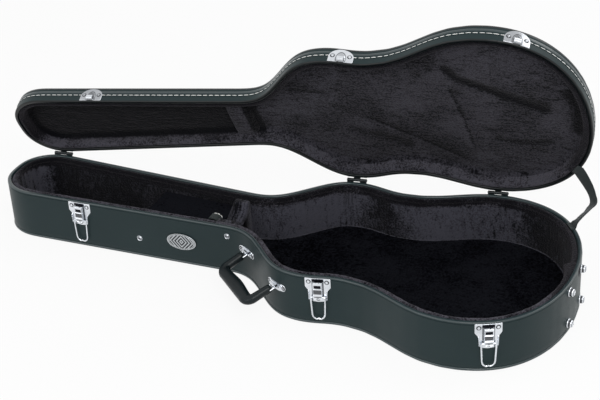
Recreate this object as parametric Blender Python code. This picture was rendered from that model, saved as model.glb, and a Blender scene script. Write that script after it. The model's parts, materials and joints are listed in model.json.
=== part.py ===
"""Hard case for an acoustic guitar, standing open on its bottom panel.

Metres, +Z up. X runs along the case from the head end (-X) to the butt end (+X),
the latches and the handle are on the -Y side and the hinges on the +Y side.
The origin is the middle of the bottom panel, on the face that the case rests on.
Stations are distances along the centre line, measured from the head end.
"""

from math import asin, atan2, cos, pi, radians, sin, sqrt, tan

import bmesh
import bpy
from mathutils import Matrix, Vector
from mathutils.geometry import interpolate_bezier

# Plan outline of the shell
CASE_LENGTH = 1.085
HEAD_FLAT = 0.022
HEAD_CORNER_FROM_HEAD = 0.075
HEAD_WIDTH = 0.150
NECK_FROM_BUTT = 0.610
NECK_WIDTH = 0.122
SHOULDER_FROM_BUTT = 0.533
SHOULDER_WIDTH = 0.199
SHOULDER_SLOPE = radians(46)
UPPER_FROM_BUTT = 0.435
UPPER_WIDTH = 0.318
WAIST_FROM_BUTT = 0.355
WAIST_WIDTH = 0.294
LOWER_FROM_BUTT = 0.170
LOWER_WIDTH = 0.398
BUTT_FULLNESS = 0.58
BOUT_FULLNESS = 0.635
HEAD_FULLNESS = 0.558
FLOW = 0.405

# Shell depths and thicknesses
BASE_DEPTH = 0.0955
LID_DEPTH = 0.036
WALL = 0.007
PANEL = 0.005
WELT_RISE = 0.006
WELT_PROUD = 0.0008
WELT_LIFT = 0.0008
TRIM_DEPTH = 0.005
TRIM_ROUND = 0.0015
LID_EDGE_RADIUS = 0.008
RIM_GAP = 0.0006
SEAM = 0.0003

# Linings
SIDE_PAD = 0.0105
FLOOR_PAD = 0.006
LID_PAD = 0.005
ROLL = 0.004

# Accessory compartment and neck supports
COMPARTMENT_FROM_BUTT = 0.789
COMPARTMENT_BOARD = 0.008
COMPARTMENT_LID_TOP = 0.073
COMPARTMENT_LID_THICKNESS = 0.005
COMPARTMENT_LID_PLAY = 0.0012
NECK_REST_FROM_BUTT = 0.6405
NECK_REST_LENGTH = 0.0305
NECK_REST_TOP = 0.0905
NECK_REST_DIP = 0.024
NECK_DIP_WIDTH = 0.056
NECK_REST_ROUND = 0.0035
PULL_TAB_WIDTH = 0.018
PULL_TAB_HEIGHT = 0.013
PULL_TAB_THICKNESS = 0.0016
PULL_TAB_SIDEWAYS = -0.018
LID_NECK_PAD_FROM_BUTT = 0.655
LID_NECK_PAD_LENGTH = 0.046
LID_NECK_PAD_THICKNESS = 0.014

# Lid hinges
LID_OPEN = radians(67.5)
HINGE_STANDOFF = 0.0037
HINGE_LENGTH = 0.036
HINGE_LEAF_HEIGHT = 0.018
HINGE_SHEET = 0.0012
KNUCKLE_RADIUS = 0.003
PIN_RADIUS = 0.0013
PIN_CLEARANCE = 0.00015
PIN_HEAD = 0.0006

# Draw latches, in a frame on the wall: X along it, Y up, Z out
HEAD_LATCH_FROM_HEAD = 0.182
WAIST_LATCH_FROM_BUTT = 0.397
BUTT_LATCH_FROM_BUTT = 0.094
LATCH_BELOW_RIM = 0.0022
SHEET = 0.0012
SEAT = 0.0003
PLATE_WIDTH = 0.044
PLATE_HEIGHT = 0.0465
SHOULDER_DROP = 0.017
WAIST_DROP = 0.024
PLATE_WAIST = 0.0332
PLATE_FOOT = 0.0316
FLANGE_RISE = 0.004
LEVER_WIDTH = 0.016
LEVER_LENGTH = 0.025
LEVER_TOP = 0.0019
LEVER_DEPTH = 0.0054
LEVER_DROP = 0.008
PIVOT_OUT = 0.005
PIVOT_RADIUS = 0.0012
EAR_GAP = 0.0003
WIRE_RADIUS = 0.0014
WIRE_CLEARANCE = 0.0003
BAIL_DROP = 0.027
BAIL_REACH = 0.0446
BAIL_TOP_WIDTH = 0.0244
BAIL_FOOT_WIDTH = 0.0212
BAIL_KINK = 0.002
RIVET_RADIUS = 0.0031
RIVET_RISE = 0.0013

# Catch plates on the lid
CATCH_WIDTH = 0.043
CATCH_HEIGHT = 0.0265
CATCH_STRAIGHT = 0.010
CATCH_ABOVE_RIM = 0.0015
HOOK_WIDTH = 0.012
HOOK_LIP = 0.0055

# Carrying handle on the near shoulder
HANDLE_FROM_BUTT = 0.4772
HANDLE_SPACING = 0.0866
HANDLE_HEIGHT = 0.060
HANDLE_REACH = 0.0616
HANDLE_DROOP = radians(21)
HANDLE_GRIP = 0.016
HANDLE_ARM = 0.0115
HANDLE_THICKNESS = 0.015
HANDLE_EDGE = 0.0035
HANDLE_PALM_ROUND = 0.006
HANDLE_CORNER_ROUND = 0.011
HANDLE_END_ROUND = 0.002
HANDLE_BOW = 0.001
HANDLE_EYE_OUT = 0.0045
BRACKET_LENGTH = 0.034
BRACKET_WIDTH = 0.013
BRACKET_SHEET = 0.0014
EYE_RADIUS = 0.0023
EYE_LENGTH = 0.009
LOOP_WIRE = 0.0013
LOOP_REACH = 0.0115

# Small fittings
BOARD_SCREW_HEIGHT = 0.039
REST_SCREW_FROM_BUTT = 0.6095
REST_SCREW_HEIGHT = 0.076
LOW_SCREW_FROM_BUTT = 0.6145
LOW_SCREW_HEIGHT = 0.016
SCREW_RADIUS = 0.0040
SCREW_RISE = 0.0019
BADGE_FROM_BUTT = 0.7005
BADGE_HEIGHT = 0.048
BADGE_LENGTH = 0.058
BADGE_WIDTH = 0.033
BADGE_THICKNESS = 0.0022
FOOT_RADIUS = 0.0082
FOOT_RISE = 0.0095
FOOT_HEIGHT = 0.018
BUTT_FOOT_BELOW_RIM = 0.0155
BUTT_FOOT_SPREAD = 0.039
SPINE_FOOT_BELOW_RIM = 0.0335

# Lid stay strap
STRAP_FROM_BUTT = 0.0405
STRAP_WIDTH = 0.022
STRAP_THICKNESS = 0.0014
STRAP_TUCK = 0.0025
STRAP_SLACK = 0.060

# Stations along the centre line, from the head end
MIDDLE = CASE_LENGTH / 2
HEAD_STATION = HEAD_CORNER_FROM_HEAD
NECK_STATION = CASE_LENGTH - NECK_FROM_BUTT
SHOULDER_STATION = CASE_LENGTH - SHOULDER_FROM_BUTT
UPPER_STATION = CASE_LENGTH - UPPER_FROM_BUTT
WAIST_STATION = CASE_LENGTH - WAIST_FROM_BUTT
LOWER_STATION = CASE_LENGTH - LOWER_FROM_BUTT
COMPARTMENT_START = CASE_LENGTH - COMPARTMENT_FROM_BUTT
NECK_REST_START = CASE_LENGTH - NECK_REST_FROM_BUTT
LID_NECK_PAD_START = CASE_LENGTH - LID_NECK_PAD_FROM_BUTT
STRAP_STATION = CASE_LENGTH - STRAP_FROM_BUTT
HANDLE_START = CASE_LENGTH - HANDLE_FROM_BUTT - HANDLE_SPACING
HANDLE_STATIONS = (HANDLE_START, HANDLE_START + HANDLE_SPACING)
LATCH_STATIONS = (
    HEAD_LATCH_FROM_HEAD,
    CASE_LENGTH - WAIST_LATCH_FROM_BUTT,
    CASE_LENGTH - BUTT_LATCH_FROM_BUTT,
)
SCREW_PLACES = (
    (COMPARTMENT_START + COMPARTMENT_BOARD / 2, BOARD_SCREW_HEIGHT),
    (CASE_LENGTH - REST_SCREW_FROM_BUTT, REST_SCREW_HEIGHT),
    (CASE_LENGTH - LOW_SCREW_FROM_BUTT, LOW_SCREW_HEIGHT),
)

LINING_INSET = WALL + SIDE_PAD
CLOSED_TOP = BASE_DEPTH + LID_DEPTH
LID_RIM = BASE_DEPTH + RIM_GAP

COLOURS = {
    "vinyl": ((0.030, 0.040, 0.040, 1), 0.45, 0.0),
    "trim": ((0.020, 0.026, 0.027, 1), 0.38, 0.0),
    "plush": ((0.022, 0.020, 0.023, 1), 0.95, 0.0),
    "chrome": ((0.78, 0.79, 0.80, 1), 0.12, 1.0),
    "handle": ((0.018, 0.023, 0.023, 1), 0.40, 0.0),
    "webbing": ((0.020, 0.020, 0.022, 1), 0.85, 0.0),
    "black_steel": ((0.018, 0.021, 0.022, 1), 0.42, 0.6),
}


def clear_scene():
    for old in list(bpy.data.objects):
        bpy.data.objects.remove(old, do_unlink=True)


def material(slot):
    """The shared material of one finish."""
    found = bpy.data.materials.get(slot)
    if found:
        return found
    colour, roughness, metallic = COLOURS[slot]
    made = bpy.data.materials.new(slot)
    made.use_nodes = True
    shader = made.node_tree.nodes["Principled BSDF"]
    shader.inputs["Base Color"].default_value = colour
    shader.inputs["Roughness"].default_value = roughness
    shader.inputs["Metallic"].default_value = metallic
    made.diffuse_color = colour
    return made


# Placing

def empty(name, matrix, parent=None):
    """A parent frame, given by its place in the world with its parents at rest."""
    made = bpy.data.objects.new(name, None)
    made.empty_display_size = 0.02
    bpy.context.collection.objects.link(made)
    if parent:
        made.parent = parent
        made.matrix_basis = parent.matrix_world.inverted() @ matrix
    else:
        made.matrix_basis = matrix
    bpy.context.view_layer.update()
    return made


def place(name, mesh, slot, parent=None, local=Matrix(), smooth=radians(35)):
    """One named piece with its own finish, in its parent's frame."""
    mesh.materials.clear()
    mesh.materials.append(material(slot))
    mesh.shade_smooth()
    mesh.set_sharp_from_angle(angle=smooth)
    made = bpy.data.objects.new(name, mesh)
    bpy.context.collection.objects.link(made)
    made.parent = parent
    made.matrix_basis = local
    return made


def frame_matrix(origin, along, up, out):
    """A frame whose X, Y and Z axes are the three unit vectors."""
    made = Matrix((along, up, out)).transposed().to_4x4()
    made.translation = origin
    return made


# Mesh building

def finished(bm, name):
    """The mesh of a closed bmesh, with its faces turned outwards."""
    bmesh.ops.recalc_face_normals(bm, faces=bm.faces)
    mesh = bpy.data.meshes.new(name)
    bm.to_mesh(mesh)
    bm.free()
    return mesh


def loft(sections, closed=False, name="loft"):
    """A skin through sections of equally many points, capped unless it closes on itself."""
    bm = bmesh.new()
    rings = [[bm.verts.new(point) for point in section] for section in sections]
    count = len(rings[0])
    pairs = list(zip(rings, rings[1:]))
    if closed:
        pairs.append((rings[-1], rings[0]))
    for first, second in pairs:
        for i in range(count):
            j = (i + 1) % count
            bm.faces.new((first[i], first[j], second[j], second[i]))
    if not closed:
        bm.faces.new(rings[0])
        bm.faces.new(rings[-1])
    return finished(bm, name)


def prism(points, low, high, name="prism"):
    """A flat outline in X and Y, made solid from low to high along Z."""
    return loft([[(x, y, z) for x, y in points] for z in (low, high)], name=name)


def block(low, high, name="block"):
    (x0, y0, z0), (x1, y1, z1) = low, high
    return prism([(x0, y0), (x1, y0), (x1, y1), (x0, y1)], z0, z1, name)


def lathe(profile, steps, name="lathe"):
    """A turned solid about Z. The profile runs from its foot on the axis to its top on the axis."""
    bm = bmesh.new()
    foot = bm.verts.new((0, 0, profile[0][1]))
    top = bm.verts.new((0, 0, profile[-1][1]))
    rings = []
    for radius, height in profile[1:-1]:
        turns = [2 * pi * i / steps for i in range(steps)]
        rings.append([bm.verts.new((radius * cos(t), radius * sin(t), height)) for t in turns])
    for i in range(steps):
        j = (i + 1) % steps
        bm.faces.new((foot, rings[0][i], rings[0][j]))
        bm.faces.new((top, rings[-1][i], rings[-1][j]))
        for first, second in zip(rings, rings[1:]):
            bm.faces.new((first[i], first[j], second[j], second[i]))
    return finished(bm, name)


def rod(start, end, radius, sides=12, name="rod"):
    """A straight round bar between two points."""
    start, end = Vector(start), Vector(end)
    axis = (end - start).normalized()
    across = axis.orthogonal().normalized()
    other = axis.cross(across)
    turns = [2 * pi * i / sides for i in range(sides)]
    ring = [across * (radius * cos(t)) + other * (radius * sin(t)) for t in turns]
    return loft([[start + r for r in ring], [end + r for r in ring]], name=name)


def wire(points, radius, sides=8, closed=False, name="wire"):
    """A round wire along points that lie in one plane."""
    points = [Vector(p) for p in points]
    count = len(points)
    flat = Vector()
    for i in range(1, count - 1):
        flat += (points[i] - points[0]).cross(points[i + 1] - points[0])
    flat.normalize()
    sections = []
    for i, point in enumerate(points):
        before = points[i - 1] if closed or i else point
        after = points[(i + 1) % count] if closed or i < count - 1 else point
        run_in = (point - before).normalized() if point != before else (after - point).normalized()
        run_out = (after - point).normalized() if after != point else run_in
        run = (run_in + run_out).normalized()
        side = run.cross(flat)
        stretch = 1 / max(run.dot(run_out), 0.5)
        turns = [2 * pi * (k + 0.5) / sides for k in range(sides)]
        sections.append([point + side * (radius * stretch * cos(t)) + flat * (radius * sin(t)) for t in turns])
    return loft(sections, closed=closed, name=name)


def moved(mesh, matrix):
    """A copy of the mesh in another place."""
    copy = mesh.copy()
    copy.transform(matrix)
    if matrix.determinant() < 0:
        copy.flip_normals()
    return copy


def combined(body, joins=(), cuts=(), name="fused"):
    """The body with the other meshes joined to it and then cut from it, as one new mesh."""
    base = bpy.data.objects.new(name, body)
    bpy.context.collection.objects.link(base)
    helpers = []
    for operation, meshes in (("UNION", joins), ("DIFFERENCE", cuts)):
        for mesh in meshes:
            helper = bpy.data.objects.new(name + "_helper", mesh)
            bpy.context.collection.objects.link(helper)
            helper.hide_render = True
            helper.display_type = "WIRE"
            helpers.append(helper)
            step = base.modifiers.new(operation, "BOOLEAN")
            step.operation = operation
            step.object = helper
            step.solver = "EXACT"
    bpy.context.view_layer.update()
    graph = bpy.context.evaluated_depsgraph_get()
    result = bpy.data.meshes.new_from_object(base.evaluated_get(graph))
    result.name = name
    for used in [base] + helpers:
        bpy.data.objects.remove(used, do_unlink=True)
    return result


def rounded(corners, steps=3):
    """A flat outline from (x, y, radius) corners, each rounded by an arc."""
    outline = []
    count = len(corners)
    for i, (x, y, radius) in enumerate(corners):
        here = Vector((x, y))
        if radius == 0:
            outline.append(here)
            continue
        before = (Vector(corners[i - 1][:2]) - here).normalized()
        after = (Vector(corners[(i + 1) % count][:2]) - here).normalized()
        half = before.angle(after) / 2
        reach = radius / tan(half)
        centre = here + (before + after).normalized() * (radius / sin(half))
        first = here + before * reach - centre
        last = here + after * reach - centre
        sweep = first.angle_signed(last)
        for k in range(steps + 1):
            turn = -sweep * k / steps
            outline.append(centre + Matrix.Rotation(turn, 2) @ first)
    return [(p.x, p.y) for p in outline]


def bevelled(thing, width, segments):
    """Adds a rounded edge to a piece."""
    step = thing.modifiers.new("edge", "BEVEL")
    step.width = width
    step.segments = segments
    step.limit_method = "ANGLE"
    step.angle_limit = radians(40)


# Plan outline

def at_station(station, width):
    return Vector((station - MIDDLE, width / 2, 0))


def half_outline(density=1):
    """The outer face from the middle of the butt to the middle of the head, on the +Y side."""
    butt = Vector((MIDDLE, 0, 0))
    lower = at_station(LOWER_STATION, LOWER_WIDTH)
    waist = at_station(WAIST_STATION, WAIST_WIDTH)
    upper = at_station(UPPER_STATION, UPPER_WIDTH)
    shoulder = at_station(SHOULDER_STATION, SHOULDER_WIDTH)
    neck = at_station(NECK_STATION, NECK_WIDTH)
    head = at_station(HEAD_STATION, HEAD_WIDTH)
    end = Vector((-MIDDLE, HEAD_FLAT / 2, 0))
    taper = (neck - head).normalized()
    slope = Vector((cos(SHOULDER_SLOPE), sin(SHOULDER_SLOPE), 0))
    along = Vector((1, 0, 0))
    outward = Vector((0, 1, 0))

    def flow(start, start_run, finish, finish_run, steps):
        reach = FLOW * (finish - start).length
        return start, start + start_run * reach, finish - finish_run * reach, finish, steps

    butt_reach = BUTT_FULLNESS * lower.y
    bout_reach = BOUT_FULLNESS * (MIDDLE - lower.x)
    head_reach = HEAD_FULLNESS * HEAD_STATION
    end_reach = HEAD_FULLNESS * (head.y - end.y)
    pieces = [
        (butt, butt + outward * butt_reach, lower + along * bout_reach, lower, 10),
        flow(lower, -along, waist, -along, 6),
        flow(waist, -along, upper, -along, 4),
        flow(upper, -along, shoulder, -slope, 5),
        flow(shoulder, -slope, neck, -taper, 5),
        (neck, neck - taper * 0.01, head + taper * 0.01, head, 1),
        (head, head - taper * head_reach, end + outward * end_reach, end, 7),
    ]
    points = []
    for first, handle, other, last, steps in pieces:
        run = interpolate_bezier(first, handle, other, last, steps * density + 1)
        points += [Vector((p.x, p.y)) for p in run[:-1]]
    points += [Vector((end.x, end.y)), Vector((-MIDDLE, 0))]
    return points


def offset_ring(ring):
    """Pairs of a ring's point and its outward mitre, so that point - mitre * inset is the inset ring."""
    pairs = []
    for i, point in enumerate(ring):
        run_in = (point - ring[i - 1]).normalized()
        run_out = (ring[(i + 1) % len(ring)] - point).normalized()
        run = (run_in + run_out).normalized()
        pairs.append((point, Vector((run.y, -run.x)) / run.dot(run_out)))
    return pairs


HALF = half_outline()
FINE_HALF = half_outline(density=12)
RING = offset_ring(HALF + [Vector((p.x, -p.y)) for p in reversed(HALF[1:-1])])


def inset_outline(inset):
    return [point - mitre * inset for point, mitre in RING]


def half_width(station):
    """Half the outer width at a station."""
    x = station - MIDDLE
    for first, second in zip(FINE_HALF, FINE_HALF[1:]):
        if second.x <= x <= first.x:
            share = (first.x - x) / max(first.x - second.x, 1e-9)
            return first.y + (second.y - first.y) * share
    raise ValueError("the station lies outside the case")


def wall_frame(station, height, side):
    """A frame on the outer wall: X along it, Y up, Z out. Side is -1 for the latches, 1 for the hinges."""
    step = 0.002
    x = station - MIDDLE
    ahead = Vector((step, half_width(station + step) - half_width(station)))
    back = Vector((step, half_width(station) - half_width(station - step)))
    run = (ahead + back).normalized()
    out = Vector((-run.y, side * run.x, 0)).normalized()
    up = Vector((0, 0, 1))
    return frame_matrix(Vector((x, side * half_width(station), height)), up.cross(out), up, out)


def wall_line(frame, side):
    """The modelled wall in a frame: X along the frame, Z out of it."""
    inward = frame.inverted()
    height = frame.translation.z
    return [inward @ Vector((p.x, side * p.y, height)) for p in HALF]


def rise_at(line, x):
    """How far the wall stands out at a distance along the frame."""
    found = []
    for first, second in zip(line, line[1:]):
        if min(first.x, second.x) <= x <= max(first.x, second.x):
            share = (x - first.x) / (second.x - first.x)
            found.append(first.z + (second.z - first.z) * share)
    return min(found, key=abs)


def wall_corners(line, reach):
    return [p.x for p in line if abs(p.x) < reach and abs(p.z) < reach]


def seat_frame(station, height, side, flat):
    """A wall frame moved out until a flat middle of that half length just clears the wall."""
    frame = wall_frame(station, height, side)
    line = wall_line(frame, side)
    places = [-flat, 0, flat] + wall_corners(line, flat)
    return frame @ Matrix.Translation((0, 0, max(rise_at(line, x) for x in places)))


def seated(mesh, frame, side, flat):
    """Bends a fitting's ends to the wall. Its middle, as far as flat on each side, keeps its shape."""
    line = wall_line(frame, side)
    bm = bmesh.new()
    bm.from_mesh(mesh)
    reach = max(abs(v.co.x) for v in bm.verts)
    middle = (flat + reach) / 2
    stops = [-middle, -flat, flat, middle] + [x for x in wall_corners(line, reach) if abs(x) > flat]
    for x in stops:
        parts = list(bm.verts) + list(bm.edges) + list(bm.faces)
        bmesh.ops.bisect_plane(bm, geom=parts, plane_co=(x, 0, 0), plane_no=(1, 0, 0), dist=1e-6)
    for vertex in bm.verts:
        x = vertex.co.x
        vertex.co.z += rise_at(line, x) - rise_at(line, max(-flat, min(flat, x)))
    bent = bpy.data.meshes.new(mesh.name)
    bm.to_mesh(bent)
    bm.free()
    return bent


def ring_solid(profile, name):
    """A band round the whole outline. The profile holds (inset, height) corners."""
    sections = []
    for point, mitre in RING:
        section = []
        for inset, height in profile:
            here = point - mitre * inset
            section.append((here.x, here.y, height))
        sections.append(section)
    return loft(sections, closed=True, name=name)


def panel_solid(inset, low, high, name):
    return prism([(p.x, p.y) for p in inset_outline(inset)], low, high, name)


def arc(centre, radius, start, end, steps):
    """Points on an arc, both ends included."""
    turns = [start + (end - start) * i / steps for i in range(steps + 1)]
    return [(centre[0] + radius * cos(t), centre[1] + radius * sin(t)) for t in turns]


# Hinge line: the straight line that touches the head and the lower bout

def hinge_line():
    """The line's outward normal and its distance from the origin."""
    head = [p for p in FINE_HALF if p.x < NECK_STATION - MIDDLE]
    bout = [p for p in FINE_HALF if p.x > WAIST_STATION - MIDDLE]
    slope = 0.0
    for _ in range(12):
        first = max(head, key=lambda p: p.y - slope * p.x)
        last = max(bout, key=lambda p: p.y - slope * p.x)
        slope = (last.y - first.y) / (last.x - first.x)
    normal = Vector((-slope, 1)).normalized()
    return normal, max(normal.dot(p) for p in FINE_HALF) + HINGE_STANDOFF


HINGE_NORMAL, HINGE_REACH = hinge_line()
HINGE_OUT = Vector((HINGE_NORMAL.x, HINGE_NORMAL.y, 0))
HINGE_AXIS = Vector((HINGE_NORMAL.y, -HINGE_NORMAL.x, 0))


def hinge_places():
    """For each hinge: its middle on the hinge line, and the wall's distance inside that line."""
    limits = (-MIDDLE, NECK_STATION - MIDDLE, WAIST_STATION - MIDDLE, MIDDLE)
    places = []
    for low, high in zip(limits, limits[1:]):
        near = [p for p in FINE_HALF if low < p.x < high]
        touch = max(near, key=lambda p: HINGE_NORMAL.dot(p))
        gap = HINGE_REACH - HINGE_NORMAL.dot(touch)
        middle = touch + HINGE_NORMAL * gap
        places.append((Vector((middle.x, middle.y, BASE_DEPTH + RIM_GAP / 2)), gap))
    return places


# Base shell

def base_shell():
    top = BASE_DEPTH - TRIM_DEPTH
    place("base_bottom_panel", panel_solid(WALL + SEAM, 0, PANEL, "base_bottom_panel"), "vinyl")
    wall = [(0, WELT_RISE + SEAM), (WALL, WELT_RISE + SEAM), (WALL, top), (0, top)]
    place("base_side_wall", ring_solid(wall, "base_side_wall"), "vinyl")
    welt = [(WALL, WELT_LIFT), (WALL, WELT_RISE), (0, WELT_RISE)]
    bead = (WELT_RISE - WELT_LIFT) / 2
    welt += [(-WELT_PROUD, WELT_RISE - bead / 2), (-WELT_PROUD, WELT_LIFT + bead), (bead / 2, WELT_LIFT)]
    place("base_bottom_welt", ring_solid(welt, "base_bottom_welt"), "trim")
    trim = [(0, top + SEAM), (WALL, top + SEAM), (WALL, BASE_DEPTH - TRIM_ROUND)]
    trim += [(WALL - TRIM_ROUND, BASE_DEPTH), (TRIM_ROUND, BASE_DEPTH), (0, BASE_DEPTH - TRIM_ROUND)]
    place("base_rim_trim", ring_solid(trim, "base_rim_trim"), "trim")


def roll_profile(low, high, fold):
    """A lining strip against the wall, with its free edge rolled over. Fold is 1 upwards, -1 downwards."""
    inner, outer = LINING_INSET, WALL + SEAM
    middle = (inner + outer) / 2
    foot, edge = (low, high) if fold > 0 else (high, low)
    return [
        (outer, foot),
        (inner, foot),
        (inner, edge - fold * ROLL),
        (inner - ROLL * 0.35, edge - fold * ROLL * 0.35),
        (middle, edge),
        (outer + ROLL * 0.35, edge - fold * ROLL * 0.35),
        (outer, edge - fold * ROLL),
    ]


def base_lining():
    low = PANEL + SEAM
    side = roll_profile(low, BASE_DEPTH - SEAM, 1)
    place("base_side_lining", ring_solid(side, "base_side_lining"), "plush")
    floor = panel_solid(LINING_INSET + SEAM, low, low + FLOOR_PAD, "base_floor_lining")
    place("base_floor_lining", floor, "plush")


# Compartment and neck rest

def inner_half_width(station):
    return half_width(station) - LINING_INSET - SEAM


def cross_wall(start, length, profile, name):
    """A block across the neck of the base, fitted between the linings. The profile takes a half width."""
    sections = []
    for station in (start, start + length):
        outline = profile(inner_half_width(station))
        sections.append([(station - MIDDLE, y, z) for y, z in outline])
    return loft(sections, name=name)


def compartment():
    floor = PANEL + SEAM + FLOOR_PAD + SEAM
    lid_low = COMPARTMENT_LID_TOP - COMPARTMENT_LID_THICKNESS

    def board(half):
        top = lid_low - SEAM
        return [(-half, floor), (half, floor), (half, top), (-half, top)]

    def cradle(half):
        dip = NECK_DIP_WIDTH / 2
        outline = [(-half, floor), (half, floor), (half, NECK_REST_TOP)]
        turns = [pi * i / 8 for i in range(9)]
        outline += [(dip * cos(t), NECK_REST_TOP - NECK_REST_DIP * sin(t)) for t in turns]
        return outline + [(-half, NECK_REST_TOP)]

    start = COMPARTMENT_START
    wall = cross_wall(start, COMPARTMENT_BOARD, board, "compartment_head_wall")
    place("compartment_head_wall", wall, "plush")
    rest = cross_wall(NECK_REST_START, NECK_REST_LENGTH, cradle, "neck_rest")
    bevelled(place("neck_rest", rest, "plush"), NECK_REST_ROUND, 2)

    pivot = Vector((start - MIDDLE, 0, lid_low))
    frame = empty("compartment_lid_pivot", Matrix.Translation(pivot))
    length = NECK_REST_START - SEAM - start - SEAM
    corners = []
    for station in (start, start + length):
        half = inner_half_width(station) - COMPARTMENT_LID_PLAY
        corners.append(((station - start, -half), (station - start, half)))
    outline = [corners[0][0], corners[1][0], corners[1][1], corners[0][1]]
    flap = prism(outline, 0, COMPARTMENT_LID_THICKNESS, "compartment_lid")
    place("compartment_lid", flap, "plush", frame)
    low = COMPARTMENT_LID_THICKNESS + SEAM
    end = length - PULL_TAB_THICKNESS
    side = PULL_TAB_SIDEWAYS - PULL_TAB_WIDTH / 2
    high = low + PULL_TAB_HEIGHT
    tab_corners = [(side, low, 0), (side + PULL_TAB_WIDTH, low, 0)]
    tab_corners += [(side + PULL_TAB_WIDTH, high, PULL_TAB_WIDTH / 4), (side, high, PULL_TAB_WIDTH / 4)]
    tab = [[(x, y, z) for y, z in rounded(tab_corners)] for x in (end - PULL_TAB_THICKNESS, end)]
    place("compartment_pull_tab", loft(tab, name="compartment_pull_tab"), "webbing", frame)


# Lid, modelled shut and turned open by its pivot

def lid_shell(pivot, shut):
    low = LID_RIM + TRIM_DEPTH
    edge = CLOSED_TOP - LID_EDGE_RADIUS

    def lid_piece(name, mesh, slot):
        return place(name, mesh, slot, pivot, shut)

    trim = [(0, low), (WALL, low), (WALL, LID_RIM + TRIM_ROUND), (WALL - TRIM_ROUND, LID_RIM)]
    trim += [(TRIM_ROUND, LID_RIM), (0, LID_RIM + TRIM_ROUND)]
    lid_piece("lid_rim_trim", ring_solid(trim, "lid_rim_trim"), "trim")
    wall = [(0, low + SEAM), (WALL, low + SEAM), (WALL, edge), (0, edge)]
    lid_piece("lid_side_wall", ring_solid(wall, "lid_side_wall"), "vinyl")
    rounding = arc((LID_EDGE_RADIUS, edge + SEAM), LID_EDGE_RADIUS - SEAM, pi, pi / 2, 4)
    rounding[0] = (0, edge + SEAM)
    welt = rounding + [(LID_EDGE_RADIUS, CLOSED_TOP - PANEL), (WALL, CLOSED_TOP - PANEL), (WALL, edge + SEAM)]
    lid_piece("lid_edge_welt", ring_solid(welt, "lid_edge_welt"), "vinyl")
    panel = panel_solid(LID_EDGE_RADIUS + SEAM, CLOSED_TOP - PANEL, CLOSED_TOP, "lid_top_panel")
    lid_piece("lid_top_panel", panel, "vinyl")

    ceiling = CLOSED_TOP - PANEL - SEAM
    side = roll_profile(LID_RIM + SEAM, ceiling, -1)
    lid_piece("lid_side_lining", ring_solid(side, "lid_side_lining"), "plush")
    top = panel_solid(LINING_INSET + SEAM, ceiling - LID_PAD, ceiling, "lid_top_lining")
    lid_piece("lid_top_lining", top, "plush")

    crown = LID_NECK_PAD_THICKNESS / 3
    high = ceiling - LID_PAD - SEAM
    deep = high - LID_NECK_PAD_THICKNESS
    sections = []
    for share in (0, 0.12, 0.5, 0.88, 1):
        station = LID_NECK_PAD_START + LID_NECK_PAD_LENGTH * share
        half = inner_half_width(station)
        lift = crown * (2 * share - 1) ** 4
        row = [(-half, high), (-half, deep + crown + lift), (-half * 0.75, deep + lift)]
        row += [(half * 0.75, deep + lift), (half, deep + crown + lift), (half, high)]
        sections.append([(station - MIDDLE, y, z) for y, z in row])
    lid_piece("lid_neck_pad", loft(sections, name="lid_neck_pad"), "plush")


# Hinges

def rivet(x, y, base, radius=RIVET_RADIUS):
    """A domed rivet head, sunk a little into the sheet it joins."""
    rise = RIVET_RISE
    profile = [(0, -rise / 2), (radius, -rise / 2), (radius, rise * 0.35)]
    profile += [(radius * 0.62, rise * 0.85), (0, rise)]
    return moved(lathe(profile, 8), Matrix.Translation((x, y, base)))


def hinge_leaf(gap, knuckles, name):
    """A leaf in the hinge's frame: X on the axis, Y down the wall, Z out. Knuckles are (start, end) spans."""
    back = SEAT - gap
    front = back + HINGE_SHEET
    half = HINGE_LENGTH / 2
    clear = KNUCKLE_RADIUS + SEAM * 2
    leaf_outline = rounded([(-half, clear, 0), (half, clear, 0), (half, HINGE_LEAF_HEIGHT, 0.004),
                            (-half, HINGE_LEAF_HEIGHT, 0.004)])
    leaf = prism(leaf_outline, back, front)
    joins = []
    for start, end in knuckles:
        joins.append(rod((start, 0, 0), (end, 0, 0), KNUCKLE_RADIUS))
        joins.append(block((start, SEAM, back), (end, clear + HINGE_SHEET, SEAM - KNUCKLE_RADIUS / 2)))
    for x in (-half * 0.55, half * 0.55):
        joins.append(rivet(x, HINGE_LEAF_HEIGHT * 0.66, front))
    bore = rod((-half * 2, 0, 0), (half * 2, 0, 0), PIN_RADIUS + PIN_CLEARANCE)
    return combined(leaf, joins, [bore], name)


def hinges(pivot, shut):
    third = HINGE_LENGTH / 6
    half = HINGE_LENGTH / 2
    slot = "black_steel"
    outer = ((-half, -third - SEAM / 2), (third + SEAM / 2, half))
    inner = ((-third + SEAM / 2, third - SEAM / 2),)
    down = Vector((0, 0, -1))
    up = Vector((0, 0, 1))
    for i, (middle, gap) in enumerate(hinge_places(), 1):
        base_frame = frame_matrix(middle, down.cross(HINGE_OUT), down, HINGE_OUT)
        lid_frame = frame_matrix(middle, up.cross(HINGE_OUT), up, HINGE_OUT)
        place(f"hinge_base_leaf_{i}", hinge_leaf(gap, outer, "hinge_base_leaf"), slot, None, base_frame)
        lid_leaf = hinge_leaf(gap, inner, "hinge_lid_leaf")
        place(f"hinge_lid_leaf_{i}", lid_leaf, slot, pivot, shut @ lid_frame)
        tip = half + SEAM + PIN_HEAD
        pin = rod((-tip, 0, 0), (tip, 0, 0), PIN_RADIUS, name="hinge_pin")
        place(f"hinge_pin_{i}", pin, slot, None, base_frame)


# Draw latches

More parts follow.
